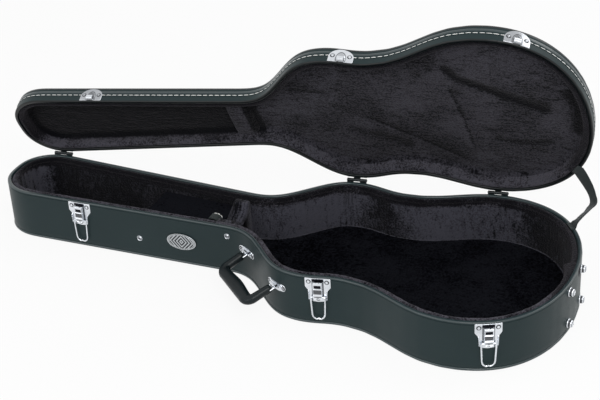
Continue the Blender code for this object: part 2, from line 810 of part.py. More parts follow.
def latch_plate():
    """The riveted plate: wide at its top corners, narrow and flanged below, with the lever's pin."""
    top, waist, foot = PLATE_WIDTH / 2, PLATE_WAIST / 2, PLATE_FOOT / 2
    low = -PLATE_HEIGHT
    half_plan = [(top, 0, 0.0015), (top, -SHOULDER_DROP, 0.003), (waist, -WAIST_DROP, 0.004)]
    half_plan += [(foot, low + 0.005, 0.003), (foot * 0.62, low + 0.0012, 0.004), (0, low, 0)]
    plan = half_plan + [(-x, y, r) for x, y, r in reversed(half_plan[:-1])]
    front = SEAT + SHEET
    sheet = prism(rounded(plan, 2), SEAT, front)
    joins = [rivet(x, y, front) for x, y in ((top - 0.0065, -0.0068), (0.0065 - top, -0.0068))]
    joins.append(rivet(0, low + 0.0078, front))
    ear_in = LEVER_WIDTH / 2 + EAR_GAP
    for side in (-1, 1):
        flange = [(side * waist, -WAIST_DROP - 0.001), (side * foot, low + 0.006)]
        inner = [(x - side * SHEET, y) for x, y in reversed(flange)]
        joins.append(prism(flange + inner, SEAT + SHEET / 2, front + FLANGE_RISE))
        ear = [(y - LEVER_DROP, z) for y, z in arc((0, PIVOT_OUT), 0.0028, -0.25, pi + 0.25, 6)]
        ear = [(-LEVER_DROP - 0.0032, SEAT + SHEET / 2)] + ear[::-1] + [(-LEVER_DROP + 0.0032, SEAT + SHEET / 2)]
        low_x, high_x = sorted((side * ear_in, side * (ear_in + SHEET * 0.85)))
        joins.append(loft([[(x, y, z) for y, z in ear] for x in (low_x, high_x)]))
    tip = ear_in + SHEET * 0.5
    joins.append(rod((-tip, -LEVER_DROP, PIVOT_OUT), (tip, -LEVER_DROP, PIVOT_OUT), PIVOT_RADIUS, 8))
    slot = block((-0.009, -0.0056, -0.001), (0.009, -0.0026, front + 0.001))
    return combined(sheet, joins, [slot], "latch_plate")


def latch_lever():
    """The lever about its pin, hanging shut: a pressed channel with ribs, recesses and a finger lip."""
    half = LEVER_WIDTH / 2
    inner = half - SHEET * 0.9
    front = LEVER_DEPTH / 2
    skin = front - SHEET
    ear_foot = -BAIL_DROP - 0.0027
    channel = [(-half, -front), (-half, front), (half, front), (half, -front), (inner, -front)]
    channel += [(inner, skin), (-inner, skin), (-inner, -front)]
    body = loft([[(x, y, z) for x, z in channel] for y in (LEVER_TOP, ear_foot)])
    joins = []
    for y in (-0.0092, -0.0194, -0.0232):
        bar = [(x + y, z) for x, z in arc((0, front - 0.0002), 0.0013, 0, pi, 4)]
        joins.append(loft([[(x, y2, z) for y2, z in bar] for x in (-half + 0.0006, half - 0.0006)]))
    cuts = [
        block((-0.0058, -0.0068, skin - 0.001), (0.0058, -0.0022, front + 0.004)),
        block((-0.0064, -0.0174, front - 0.0005), (0.0064, -0.0112, front + 0.004)),
        block((-inner, ear_foot - 0.001, skin - 0.0012), (inner, -LEVER_LENGTH, front + 0.004)),
        block((-half - 0.001, ear_foot - 0.001, 0.0018), (half + 0.001, -LEVER_LENGTH - 0.0004, front + 0.004)),
        rod((-half * 2, 0, 0), (half * 2, 0, 0), PIVOT_RADIUS + WIRE_CLEARANCE, 8),
        rod((-half * 2, -BAIL_DROP, 0), (half * 2, -BAIL_DROP, 0), WIRE_RADIUS + WIRE_CLEARANCE, 8),
    ]
    return combined(body, joins, cuts, "latch_lever")


def latch_bail():
    """The wire loop about its own pins, hanging: straight legs drawn in to a round foot with a kink."""
    top, foot = BAIL_TOP_WIDTH / 2, BAIL_FOOT_WIDTH / 2
    pin = LEVER_WIDTH / 2 - SHEET
    bend = BAIL_REACH - foot * 0.95
    side = [(pin, 0), (top - 0.0022, 0), (top - 0.0006, -0.0006), (top, -0.0022)]
    side += [(foot, -bend)]
    drop = BAIL_REACH - bend
    side += [(foot * cos(t), -bend - drop * sin(t)) for t in (radians(24), radians(46), radians(66))]
    side += [(foot * 0.22, -BAIL_REACH + BAIL_KINK * 0.45)]
    points = side + [(0, -BAIL_REACH + BAIL_KINK)] + [(-x, y) for x, y in reversed(side)]
    return wire([(x, y, 0) for x, y in points], WIRE_RADIUS, name="latch_bail")


def latches():
    plate, lever, bail = latch_plate(), latch_lever(), latch_bail()
    flat = LEVER_WIDTH / 2 + SHEET * 2
    for i, station in enumerate(LATCH_STATIONS, 1):
        frame = seat_frame(station, BASE_DEPTH - LATCH_BELOW_RIM, -1, flat)
        holder = empty(f"latch_{i}_frame", frame)
        place(f"latch_plate_{i}", seated(plate, frame, -1, flat), "chrome", holder)
        at_pin = Matrix.Translation((0, -LEVER_DROP, PIVOT_OUT))
        lever_piece = place(f"latch_lever_{i}", lever.copy(), "chrome", holder, at_pin)
        at_end = Matrix.Translation((0, -BAIL_DROP, 0))
        place(f"latch_bail_{i}", bail.copy(), "chrome", lever_piece, at_end)


def catch_plate():
    """The lid's plate: straight along the rim, domed away from it, with a hook that takes the bail's foot."""
    half = CATCH_WIDTH / 2
    plan = [(-half, 0), (half, 0)]
    turns = [pi * i / 10 for i in range(11)]
    rise = CATCH_HEIGHT - CATCH_STRAIGHT
    plan += [(half * cos(t), CATCH_STRAIGHT + rise * sin(t)) for t in turns]
    front = SEAT + SHEET
    bar = BASE_DEPTH - LATCH_BELOW_RIM - LEVER_DROP - BAIL_DROP + BAIL_REACH - BAIL_KINK
    bar -= LID_RIM + CATCH_ABOVE_RIM
    shelf = bar - WIRE_RADIUS - WIRE_CLEARANCE
    lip = PIVOT_OUT + WIRE_RADIUS + WIRE_CLEARANCE
    hook = [(shelf - SHEET, SEAT + SHEET / 2), (shelf - SHEET, lip), (shelf, lip + SHEET)]
    hook += [(shelf + HOOK_LIP, lip + SHEET), (shelf + HOOK_LIP, lip), (shelf, lip), (shelf, SEAT + SHEET / 2)]
    grip = HOOK_WIDTH / 2
    joins = [loft([[(x, y, z) for y, z in hook] for x in (-grip, grip)])]
    joins += [rivet(x, CATCH_HEIGHT * 0.45, front) for x in (-half * 0.68, half * 0.68)]
    return combined(prism(plan, SEAT, front), joins, (), "catch_plate")


def catches(pivot, shut):
    plate = catch_plate()
    flat = HOOK_WIDTH / 2
    for i, station in enumerate(LATCH_STATIONS, 1):
        frame = seat_frame(station, LID_RIM + CATCH_ABOVE_RIM, -1, flat)
        place(f"catch_plate_{i}", seated(plate, frame, -1, flat), "chrome", pivot, shut @ frame)


# Handle

def handle_bracket(turn):
    """A plate with a screw at each end and an eye whose bore is turned to the handle's axis."""
    end = BRACKET_WIDTH / 2 * 0.98
    half = BRACKET_LENGTH / 2
    plan = [(-half, -end, end * 0.9), (half, -end, end * 0.9), (half, end, end * 0.9), (-half, end, end * 0.9)]
    front = SEAT + BRACKET_SHEET
    outer = EYE_RADIUS + BRACKET_SHEET
    low = SEAT + BRACKET_SHEET / 2
    eye = [(outer, low)] + arc((0, HANDLE_EYE_OUT), outer, 0, pi, 6) + [(-outer, low), (-EYE_RADIUS, low)]
    eye += arc((0, HANDLE_EYE_OUT), EYE_RADIUS, pi, 0, 6) + [(EYE_RADIUS, low)]
    reach = EYE_LENGTH / 2
    arch = loft([[(x, y, z) for y, z in eye] for x in (-reach, reach)])
    joins = [moved(arch, Matrix.Rotation(turn, 4, "Y"))]
    joins += [rivet(x, 0, front, RIVET_RADIUS * 1.1) for x in (-half * 0.68, half * 0.68)]
    return combined(prism(rounded(plan), SEAT, front), joins, (), "handle_bracket")


def handle_grip(span):
    """The moulded grip about its axis, with X along the axis and Z out to the hand."""
    arm = HANDLE_ARM / 2
    side = span / 2
    near = LOOP_REACH - LOOP_WIRE * 3
    palm, back = HANDLE_REACH - HANDLE_GRIP / 2, HANDLE_REACH + HANDLE_GRIP / 2
    end = arm * 0.82
    tip = HANDLE_END_ROUND
    half_plan = [(side - arm, palm, HANDLE_PALM_ROUND), (side - end, near, tip), (side + end, near, tip)]
    half_plan += [(side + arm, palm, 0), (side + arm, back, HANDLE_CORNER_ROUND)]
    plan = half_plan + [(-x, y, r) for x, y, r in reversed(half_plan)]
    plan.append((0, palm + HANDLE_BOW, 0))
    flat = rounded(plan, 4)
    thick = HANDLE_THICKNESS / 2
    body = loft([[(x, y, z) for x, z in flat] for y in (-thick, thick)])
    sized = bpy.data.objects.new("grip_form", body)
    bpy.context.collection.objects.link(sized)
    bevelled(sized, HANDLE_EDGE, 2)
    bpy.context.view_layer.update()
    graph = bpy.context.evaluated_depsgraph_get()
    soft = bpy.data.meshes.new_from_object(sized.evaluated_get(graph))
    bpy.data.objects.remove(sized, do_unlink=True)
    bore = LOOP_WIRE + WIRE_CLEARANCE
    cuts = [rod((s * side - 0.02, 0, LOOP_REACH), (s * side + 0.02, 0, LOOP_REACH), bore, 8) for s in (-1, 1)]
    return combined(soft, (), cuts, "handle_grip")


def handle():
    flat = EYE_LENGTH / 2 + BRACKET_SHEET
    frames = [seat_frame(station, HANDLE_HEIGHT, -1, flat) for station in HANDLE_STATIONS]
    eyes = [frame @ Vector((0, 0, HANDLE_EYE_OUT)) for frame in frames]
    axis = (eyes[1] - eyes[0]).normalized()
    span = (eyes[1] - eyes[0]).length
    for i, frame in enumerate(frames, 1):
        along = frame.to_3x3().col[0]
        out = frame.to_3x3().col[2]
        turn = atan2(-axis.dot(out), axis.dot(along))
        bracket = seated(handle_bracket(turn), frame, -1, flat)
        place(f"handle_bracket_{i}", bracket, "chrome", None, frame)
    up = Vector((0, 0, 1))
    level = axis.cross(up).normalized()
    reach = (level * cos(HANDLE_DROOP) - up * sin(HANDLE_DROOP)).normalized()
    swing = empty("handle_pivot", frame_matrix((eyes[0] + eyes[1]) / 2, axis, reach.cross(axis), reach))
    place("handle_grip", handle_grip(span), "handle", swing)
    wide = HANDLE_ARM / 2 + LOOP_WIRE + SEAM * 2
    ring = rounded([(-wide, 0, 0.0025), (wide, 0, 0.0025), (wide, LOOP_REACH, 0.0025), (-wide, LOOP_REACH, 0.0025)])
    loop = wire([(x, 0, z) for x, z in ring], LOOP_WIRE, closed=True, name="handle_loop")
    for i, side in enumerate((-1, 1), 1):
        place(f"handle_loop_{i}", loop.copy(), "chrome", swing, Matrix.Translation((side * span / 2, 0, 0)))


# Screws, badge and feet

def screws():
    rise, radius = SCREW_RISE, SCREW_RADIUS
    profile = [(0, SEAT), (radius, SEAT), (radius, rise * 0.5), (radius * 0.6, rise * 0.9), (0, rise)]
    head = lathe(profile, 12, "compartment_screw")
    for i, (station, height) in enumerate(SCREW_PLACES, 1):
        frame = seat_frame(station, height, -1, radius)
        place(f"compartment_screw_{i}", head.copy(), "chrome", None, frame)


def badge():
    """A plain oval plate with a raised rim."""
    thick = BADGE_THICKNESS
    profile = [(0, SEAT), (0.94, SEAT), (1, thick * 0.5), (0.98, thick), (0.88, thick), (0.84, thick * 0.7)]
    profile += [(0, thick * 0.7)]
    oval = lathe(profile, 32, "badge_plate")
    oval.transform(Matrix.Diagonal((BADGE_LENGTH / 2, BADGE_WIDTH / 2, 1, 1)))
    place("badge_plate", oval, "chrome", None, wall_frame(CASE_LENGTH - BADGE_FROM_BUTT, BADGE_HEIGHT, -1))


def feet():
    rise, radius = FOOT_RISE, FOOT_RADIUS
    profile = [(0, SEAT), (radius, SEAT), (radius, rise * 0.18), (radius * 0.8, rise * 0.30)]
    profile += [(radius * 0.78, rise * 0.62), (radius * 0.52, rise * 0.92), (0, rise)]
    foot = lathe(profile, 12, "foot")
    places = []
    up = Vector((0, 0, 1))
    near_butt = [p for p in FINE_HALF if p.x > LOWER_STATION - MIDDLE]
    for first, second in zip(near_butt, near_butt[1:]):
        if first.y <= BUTT_FOOT_SPREAD <= second.y:
            touch, run = first, (second - first).normalized()
    for side in (-1, 1):
        out = Vector((run.y, -side * run.x, 0))
        for height in (FOOT_HEIGHT, BASE_DEPTH - BUTT_FOOT_BELOW_RIM):
            origin = Vector((touch.x, side * touch.y, height))
            places.append(("butt_foot", frame_matrix(origin, up.cross(out), up, out)))
    middles = [middle for middle, gap in hinge_places()]
    for middle in (middles[0], middles[2]):
        station = (middle - HINGE_OUT * HINGE_STANDOFF).x + MIDDLE
        for height in (FOOT_HEIGHT, BASE_DEPTH - SPINE_FOOT_BELOW_RIM):
            places.append(("spine_foot", wall_frame(station, height, 1)))
    counts = {}
    for kind, frame in places:
        counts[kind] = counts.get(kind, 0) + 1
        place(f"{kind}_{counts[kind]}", foot.copy(), "chrome", None, frame)


# Stay strap between the lid and the base

def strap(pivot, shut):
    """The slack webbing: over the base's rim, out in a loop, and over the lid's rim."""
    base = wall_frame(STRAP_STATION, BASE_DEPTH, 1)
    lid = pivot.matrix_world @ shut @ wall_frame(STRAP_STATION, LID_RIM, 1)
    over = SEAM + STRAP_THICKNESS / 2
    low = base @ Vector((0, over, -TRIM_ROUND))
    high = lid @ Vector((0, -over, -TRIM_ROUND))
    out = base.to_3x3().col[2]
    up = base.to_3x3().col[1]
    lid_out = lid.to_3x3().col[2]
    leave = low + (out * 0.85 + up * 0.25) * STRAP_SLACK
    arrive = high + (lid_out * 0.8 + out * 0.45) * STRAP_SLACK
    path = [base @ Vector((0, over, -WALL - STRAP_TUCK))]
    path += interpolate_bezier(low, leave, arrive, high, 18)
    path.append(lid @ Vector((0, -over, -WALL - STRAP_TUCK)))
    last = len(path) - 1
    sections = []
    for i, point in enumerate(path):
        turned = min(max((i - 1) / (last - 2), 0), 1)
        run = (path[min(i + 1, last)] - path[max(i - 1, 0)]).normalized()
        across = base.to_3x3().col[0].lerp(lid.to_3x3().col[0], turned)
        half = (across - run * across.dot(run)).normalized() * (STRAP_WIDTH / 2)
        face = run.cross(half).normalized() * (STRAP_THICKNESS / 2)
        sections.append([point - half - face, point + half - face, point + half + face, point - half + face])
    place("lid_stay_strap", loft(sections, name="lid_stay_strap"), "webbing")


def main():
    clear_scene()
    base_shell()
    base_lining()
    compartment()
    middle = HINGE_OUT * HINGE_REACH + Vector((0, 0, BASE_DEPTH + RIM_GAP / 2))
    pivot = empty("lid_pivot", Matrix.Translation(middle) @ Matrix.Rotation(-LID_OPEN, 4, HINGE_AXIS))
    shut = Matrix.Translation(-middle)
    lid_shell(pivot, shut)
    hinges(pivot, shut)
    latches()
    catches(pivot, shut)
    handle()
    screws()
    badge()
    feet()
    strap(pivot, shut)


main()
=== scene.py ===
"""The looks of an open hard case for an acoustic guitar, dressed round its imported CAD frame.

Everything is in metres, in the frame's own axes: the head end points to -X and the butt to +X, the latches
and the handle face -Y, the hinges +Y, and the case lies on z = 0. A station is a distance from the head end.
The lid's pieces are shaped as if the lid were shut, and LidPlace turns them open.
"""

from __future__ import annotations

import json
import logging
import math
from dataclasses import dataclass, field
from enum import Enum
from functools import cached_property
from typing import Callable, Iterable, Mapping, Optional, Sequence, Union

import bmesh
import bpy
import numpy as np
from mathutils import Matrix, Vector, noise
from mathutils.geometry import delaunay_2d_cdt, interpolate_bezier

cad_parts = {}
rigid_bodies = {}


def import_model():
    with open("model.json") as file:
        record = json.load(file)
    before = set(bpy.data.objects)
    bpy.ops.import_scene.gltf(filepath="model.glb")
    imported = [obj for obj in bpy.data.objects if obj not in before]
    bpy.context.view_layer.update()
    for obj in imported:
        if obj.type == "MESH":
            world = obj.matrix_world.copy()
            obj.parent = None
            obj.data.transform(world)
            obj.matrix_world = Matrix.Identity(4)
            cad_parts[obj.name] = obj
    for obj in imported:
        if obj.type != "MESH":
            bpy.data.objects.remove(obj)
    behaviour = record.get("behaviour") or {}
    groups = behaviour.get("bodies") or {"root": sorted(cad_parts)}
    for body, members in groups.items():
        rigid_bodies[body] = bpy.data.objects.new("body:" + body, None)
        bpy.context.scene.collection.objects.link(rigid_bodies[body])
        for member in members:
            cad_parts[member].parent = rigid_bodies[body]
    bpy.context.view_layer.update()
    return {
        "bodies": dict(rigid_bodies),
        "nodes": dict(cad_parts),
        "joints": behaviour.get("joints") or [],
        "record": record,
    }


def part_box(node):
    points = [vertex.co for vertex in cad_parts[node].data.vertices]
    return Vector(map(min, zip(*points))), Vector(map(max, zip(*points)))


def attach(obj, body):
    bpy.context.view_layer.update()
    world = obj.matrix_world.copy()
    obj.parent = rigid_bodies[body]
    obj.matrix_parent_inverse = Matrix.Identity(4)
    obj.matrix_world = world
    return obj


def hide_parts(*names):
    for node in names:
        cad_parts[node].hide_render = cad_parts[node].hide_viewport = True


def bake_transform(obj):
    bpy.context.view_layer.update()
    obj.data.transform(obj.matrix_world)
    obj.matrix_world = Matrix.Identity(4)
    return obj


LOG = logging.getLogger("guitar_case")

Colour = tuple[float, float, float, float]
Move = Callable[[np.ndarray], np.ndarray]
Shaded = tuple[np.ndarray, np.ndarray]
Outline = Sequence[tuple[float, float]]
Socket = bpy.types.NodeSocket


class Slot(Enum):
    """The record's material slots that the new pieces use."""

    VINYL = "vinyl"
    TRIM = "trim"
    PLUSH = "plush"
    WEBBING = "webbing"
    HANDLE = "handle"
    CHROME = "chrome"


class Body(Enum):
    """The moving bodies that the new pieces ride on."""

    BASE = "base"
    LID = "lid"
    HANDLE = "handle"
    FLAP = "compartment_flap"


class Side(Enum):
    """The two long sides, by the sign of Y."""

    LATCHES = -1
    HINGES = 1


# Nodes


class NodeDesk:
    """Lays out and wires the nodes of one material or group."""

    def __init__(self, tree: bpy.types.NodeTree) -> None:
        """Starts at the tree's top left corner.

        Args:
            tree: The node tree to fill.
        """
        self.tree = tree
        self.placed = 0

    def add(
        self, kind: str, label: str, inputs: Optional[Mapping[Union[str, int], object]] = None, **settings: object
    ) -> bpy.types.Node:
        """Adds one node.

        Args:
            kind: Blender's name for the node's type.
            label: What the node does here.
            inputs: Values or sockets for its inputs, by name or number.
            settings: Values for the node's own properties.

        Returns:
            The new node.
        """
        node = self.tree.nodes.new(kind)
        node.label = label
        node.location = (240 * (self.placed % 7), -300 * (self.placed // 7))
        self.placed += 1
        for name, value in settings.items():
            setattr(node, name, value)
        self.fill(node, inputs or {})
        return node

    def fill(self, node: bpy.types.Node, inputs: Mapping[Union[str, int], object]) -> None:
        """Sets a node's inputs, by name or number, to values or to the sockets that feed them."""
        for name, value in inputs.items():
            if isinstance(value, bpy.types.NodeSocket):
                self.tree.links.new(value, node.inputs[name])
            else:
                node.inputs[name].default_value = value

    def noise(self, label: str, place: Socket, scale: object, detail: float, **more: object) -> Socket:
        """The strength of a noise texture."""
        inputs = {"Vector": place, "Scale": scale, "Detail": detail, **more}
        return self.add("ShaderNodeTexNoise", label, inputs).outputs["Fac"]

    def shared(self, label: str, tree: bpy.types.NodeTree, inputs: Mapping[str, object]) -> bpy.types.Node:
        """One of the shared effects."""
        return self.add("ShaderNodeGroup", label, inputs, node_tree=tree)

    def stored(self, label: str, name: str) -> Socket:
        """A number that give() stored for each point of a piece."""
        return self.add("ShaderNodeAttribute", label, attribute_name=name).outputs["Fac"]

    def scaled(self, label: str, value: object, share: object) -> Socket:
        """A value times a share."""
        return self.sum_up("MULTIPLY", label, value, share)

    def sum_up(self, operation: str, label: str, first: object, second: object) -> Socket:
        """The result of one Math node on two values or sockets."""
        return self.add("ShaderNodeMath", label, {0: first, 1: second}, operation=operation).outputs[0]

    def spread(self, label: str, value: object, start: float, end: float, low: object, high: object) -> Socket:
        """A value mapped smoothly from the span start..end to the span low..high.

        Args:
            label: What the mapped value stands for.
            value: The socket to map.
            start: The value that gives low.
            end: The value that gives high.
            low: The first result.
            high: The last result.

        Returns:
            The mapped value's socket.
        """
        values = {"Value": value, "From Min": start, "From Max": end, "To Min": low, "To Max": high}
        return self.add("ShaderNodeMapRange", label, values, interpolation_type="SMOOTHSTEP").outputs[0]

    def seen_straight(self) -> Socket:
        """1 for what the camera, a reflection or glass shows, and 0 for what only lights the case."""
        rays = self.add("ShaderNodeLightPath", "who looks").outputs
        seen = self.sum_up("MAXIMUM", "camera or gloss", rays["Is Camera Ray"], rays["Is Glossy Ray"])
        return self.sum_up("MAXIMUM", "or glass", seen, rays["Is Transmission Ray"])

    def mixed(self, label: str, share: object, first: object, second: object, way: str = "MIX") -> Socket:
        """A colour between two others.

        Args:
            label: What the mixed colour stands for.
            share: How much of the second colour, from 0 to 1.
            first: The first colour or socket.
            second: The second colour or socket.
            way: Blender's blend type.

        Returns:
            The colour's socket.
        """
        values = {0: share, 6: first, 7: second}
        return self.add("ShaderNodeMix", label, values, data_type="RGBA", blend_type=way).outputs[2]


def rgb(red: float, green: float, blue: float) -> Colour:
    """A linear colour from the 0 to 255 numbers that a screen shows."""

    def linear(value: float) -> float:
        share = value / 255
        return share / 12.92 if share <= 0.04045 else ((share + 0.055) / 1.055) ** 2.4

    return linear(red), linear(green), linear(blue), 1.0


@dataclass(frozen=True)
class SharedEffects:
    """The effects that several finishes use, each a node group that is built once."""

    FLOAT = "NodeSocketFloat"
    VECTOR = "NodeSocketVector"

    def group(
        self, name: str, inputs: Mapping[str, tuple[str, object]], outputs: Sequence[str]
    ) -> tuple[NodeDesk, bpy.types.Node, bpy.types.Node]:
        """An empty node group with its sockets.

        Args:
            name: The group's name.
            inputs: The kind and usual value of each input, by name.
            outputs: The names of its outputs, which are all numbers.

        Returns:
            The desk for its nodes, its input node and its output node.
        """
        tree = bpy.data.node_groups.new(name, "ShaderNodeTree")
        for label, (kind, value) in inputs.items():
            made = tree.interface.new_socket(name=label, in_out="INPUT", socket_type=kind)
            if value is not None:
                made.default_value = value
        for label in outputs:
            tree.interface.new_socket(name=label, in_out="OUTPUT", socket_type=self.FLOAT)
        desk = NodeDesk(tree)
        return desk, desk.add("NodeGroupInput", "what comes in"), desk.add("NodeGroupOutput", "what goes out")

    @cached_property
    def grain(self) -> bpy.types.NodeTree:
        """Pebbled leather grain: cells of a given size, softened and broken up by noise."""
        inputs = {"Place": (self.VECTOR, None), "Cells per metre": (self.FLOAT, 900.0), "Softness": (self.FLOAT, 0.5)}
        desk, given, result = self.group("leather_grain", inputs, ("Height", "Blotches"))
        place, cells = given.outputs["Place"], given.outputs["Cells per metre"]
        cell = {"Vector": place, "Scale": cells, "Smoothness": 0.6}
        pebbles = desk.add("ShaderNodeTexVoronoi", "pebbles", cell, feature="SMOOTH_F1")
        folds = desk.noise("folds", place, desk.scaled("coarser than a pebble", cells, 0.35), 3.0)
        pebble_height = desk.spread("pebble height", pebbles.outputs["Distance"], 0.0, 0.75, 1.0, 0.0)
        soft = desk.scaled("fold share", folds, given.outputs["Softness"])
        blotches = desk.noise("blotches", place, 9.0, 4.0)
        desk.fill(result, {
            "Height": desk.sum_up("ADD", "grain height", pebble_height, soft),
            "Blotches": desk.spread("blotch tone", blotches, 0.35, 0.65, 0.0, 1.0),
        })
        return desk.tree

    @cached_property
    def pile(self) -> bpy.types.NodeTree:
        """Crushed pile: patches brushed light and dark, long strokes, and tufts."""
        inputs = {
            "Place": (self.VECTOR, None),
            "Brushed place": (self.VECTOR, None),
            "Patches per metre": (self.FLOAT, 9.0),
            "Tufts per metre": (self.FLOAT, 420.0),
        }
        desk, given, result = self.group("crushed_pile", inputs, ("Tone", "Height"))
        place, brushed = given.outputs["Place"], given.outputs["Brushed place"]
        many = given.outputs["Patches per metre"]
        patches = desk.noise("brushed patches", place, many, 5.0, Roughness=0.62, Distortion=0.6)
        strokes = desk.noise("strokes", brushed, desk.scaled("strokes per metre", many, 17.0), 3.0, Roughness=0.6)
        tufts = desk.noise("tufts", place, given.outputs["Tufts per metre"], 2.0, Roughness=0.8)
        broad = desk.spread("patch tone", patches, 0.36, 0.62, 0.0, 1.0)
        fine = desk.spread("stroke tone", strokes, 0.32, 0.52, 0.0, 1.0)
        tuft = desk.spread("tuft tone", tufts, 0.30, 0.70, 0.0, 1.0)
        tone = desk.scaled("patch share", broad, 0.27)
        tone = desk.sum_up("ADD", "with strokes", tone, desk.scaled("stroke share", fine, 0.24))
        tone = desk.sum_up("ADD", "with tufts", tone, desk.scaled("tuft share", tuft, 0.49))
        height = desk.sum_up("ADD", "pile height", tuft, desk.scaled("stroke height", fine, 0.7))
        desk.fill(result, {"Tone": tone, "Height": height})
        return desk.tree

    @cached_property
    def wear(self) -> bpy.types.NodeTree:
        """Handling marks: smudges that dull a gloss, and fine scratches in two directions."""
        inputs = {"Place": (self.VECTOR, None), "Scratches per metre": (self.FLOAT, 260.0)}
        desk, given, result = self.group("handling_wear", inputs, ("Smudges", "Scratches"))
        place, many = given.outputs["Place"], given.outputs["Scratches per metre"]
        smudges = desk.noise("smudges", place, 38.0, 5.0, Roughness=0.65)
        found: Optional[Socket] = None
        for label, turn, stretch in (("long", 0.5, (0.06, 1, 1)), ("short", 2.1, (0.15, 1, 1))):
            lay = {"Vector": place, "Rotation": (turn, 0.3, turn), "Scale": stretch}
            laid = desk.add("ShaderNodeMapping", f"{label} scratch lay", lay).outputs[0]
            lines = desk.noise(f"{label} scratches", laid, many, 1.0)
            thin = desk.spread(f"{label} scratch lines", lines, 0.66, 0.72, 0.0, 1.0)
            found = thin if found is None else desk.sum_up("MAXIMUM", "both scratches", found, thin)
        tone = desk.spread("smudge tone", smudges, 0.38, 0.66, 0.0, 1.0)
        desk.fill(result, {"Smudges": tone, "Scratches": found})
        return desk.tree


EFFECTS = SharedEffects()


def blank_material(name: str) -> tuple[bpy.types.Material, NodeDesk, bpy.types.Node, Socket]:
    """A material with only its Principled shader and the mesh's own coordinates.

    Args:
        name: The material's name.

    Returns:
        The material, the desk for its nodes, its Principled node and the coordinates' socket.
    """
    made = bpy.data.materials.new(name)
    made.use_nodes = True
    shader = made.node_tree.nodes["Principled BSDF"]
    shader.location = (1900, 0)
    made.node_tree.nodes["Material Output"].location = (2200, 0)
    desk = NodeDesk(made.node_tree)
    place = desk.add("ShaderNodeTexCoord", "the mesh's own metres").outputs["Object"]
    return made, desk, shader, place


def raised(desk: NodeDesk, shader: bpy.types.Node, height: Socket, depth: float, strength: float) -> None:
    """Gives a shader a relief of a real depth.

    Args:
        desk: The material's desk.
        shader: The Principled node.
        height: The relief's height, about 0 to 1.
        depth: What a height of 1 stands for, in metres.
        strength: How much of it shows.
    """
    bump = desk.add("ShaderNodeBump", "relief", {"Height": height, "Distance": depth, "Strength": strength})
    desk.tree.links.new(bump.outputs["Normal"], shader.inputs["Normal"])


# Finishes


@dataclass(frozen=True)
class CoatedCloth:
    """Vinyl-coated cloth or moulded vinyl: a fine leather grain under a satin coat, with scuffs."""

    name: str
    colour: Colour
    worn: Colour
    roughness: float = 0.42
    cells: float = 900.0
    depth: float = 0.00012
    shine: float = 0.2
    coat: float = 0.03
    coat_roughness: float = 0.28

    def made(self) -> bpy.types.Material:
        """The finish as a material."""
        made, desk, shader, place = blank_material(self.name)
        grain = desk.shared("grain", EFFECTS.grain, {"Place": place, "Cells per metre": self.cells})
        wear = desk.shared("wear", EFFECTS.wear, {"Place": place})
        uneven = desk.scaled("tone change", grain.outputs["Blotches"], 0.26)
        scuffed = desk.scaled("scuffs", wear.outputs["Scratches"], 0.22)
        share = desk.sum_up("ADD", "lighter share", uneven, scuffed)
        dull = desk.spread("roughness", wear.outputs["Smudges"], 0.0, 1.0, self.roughness, self.roughness + 0.04)
        desk.fill(shader, {
            "Base Color": desk.mixed("coat colour", share, self.colour, self.worn),
            "Roughness": dull,
            "Specular IOR Level": self.shine,
            "Coat Weight": self.coat,
            "Coat Roughness": self.coat_roughness,
        })
        raised(desk, shader, grain.outputs["Height"], self.depth, 0.35)
        return made


@dataclass(frozen=True)
class PlushPile:
    """Short crushed plush: it darkens where it is brushed away and glows at its edges, and it takes the painted light
    and shade that a piece stores.
    """

    name: str
    dark: Colour
    light: Colour
    lay: tuple[float, float, float] = (1.0, 1.0, 1.0)
    turn: tuple[float, float, float] = (0.0, 0.0, 0.0)
    patches: float = 9.0
    tufts: float = 300.0
    depth: float = 0.0010
    sheen: float = 0.16
    sheen_tint: Colour = (0.7, 0.68, 0.72, 1.0)
    span: tuple[float, float] = (0.24, 0.84)
    shine: float = 0.05

    def made(self) -> bpy.types.Material:
        """The finish as a material."""
        made, desk, shader, place = blank_material(self.name)
        brushing = {"Vector": place, "Rotation": self.turn, "Scale": self.lay}
        brushed = desk.add("ShaderNodeMapping", "brushing", brushing).outputs[0]
        given = {"Place": place, "Brushed place": brushed}
        given |= {"Patches per metre": self.patches, "Tufts per metre": self.tufts}
        pile = desk.shared("pile", EFFECTS.pile, given)
        # the stored tone: the pile's brushing together with painted light and shade
        pressed = desk.stored("pressed or brushed up by hand", "brush")
        tone = desk.sum_up("ADD", "pile tone", pile.outputs["Tone"], pressed)
        share = desk.spread("light share", tone, *self.span, 0.0, 1.0)
        desk.fill(shader, {
            "Base Color": desk.mixed("pile colour", share, self.dark, self.light),
            "Roughness": desk.spread("roughness", pile.outputs["Tone"], 0.0, 1.0, 0.98, 0.86),
            "Specular IOR Level": self.shine,
            "Sheen Weight": self.sheen,
            "Sheen Roughness": 0.45,
            "Sheen Tint": self.sheen_tint,
        })
        raised(desk, shader, pile.outputs["Height"], self.depth, 0.8)
        return made


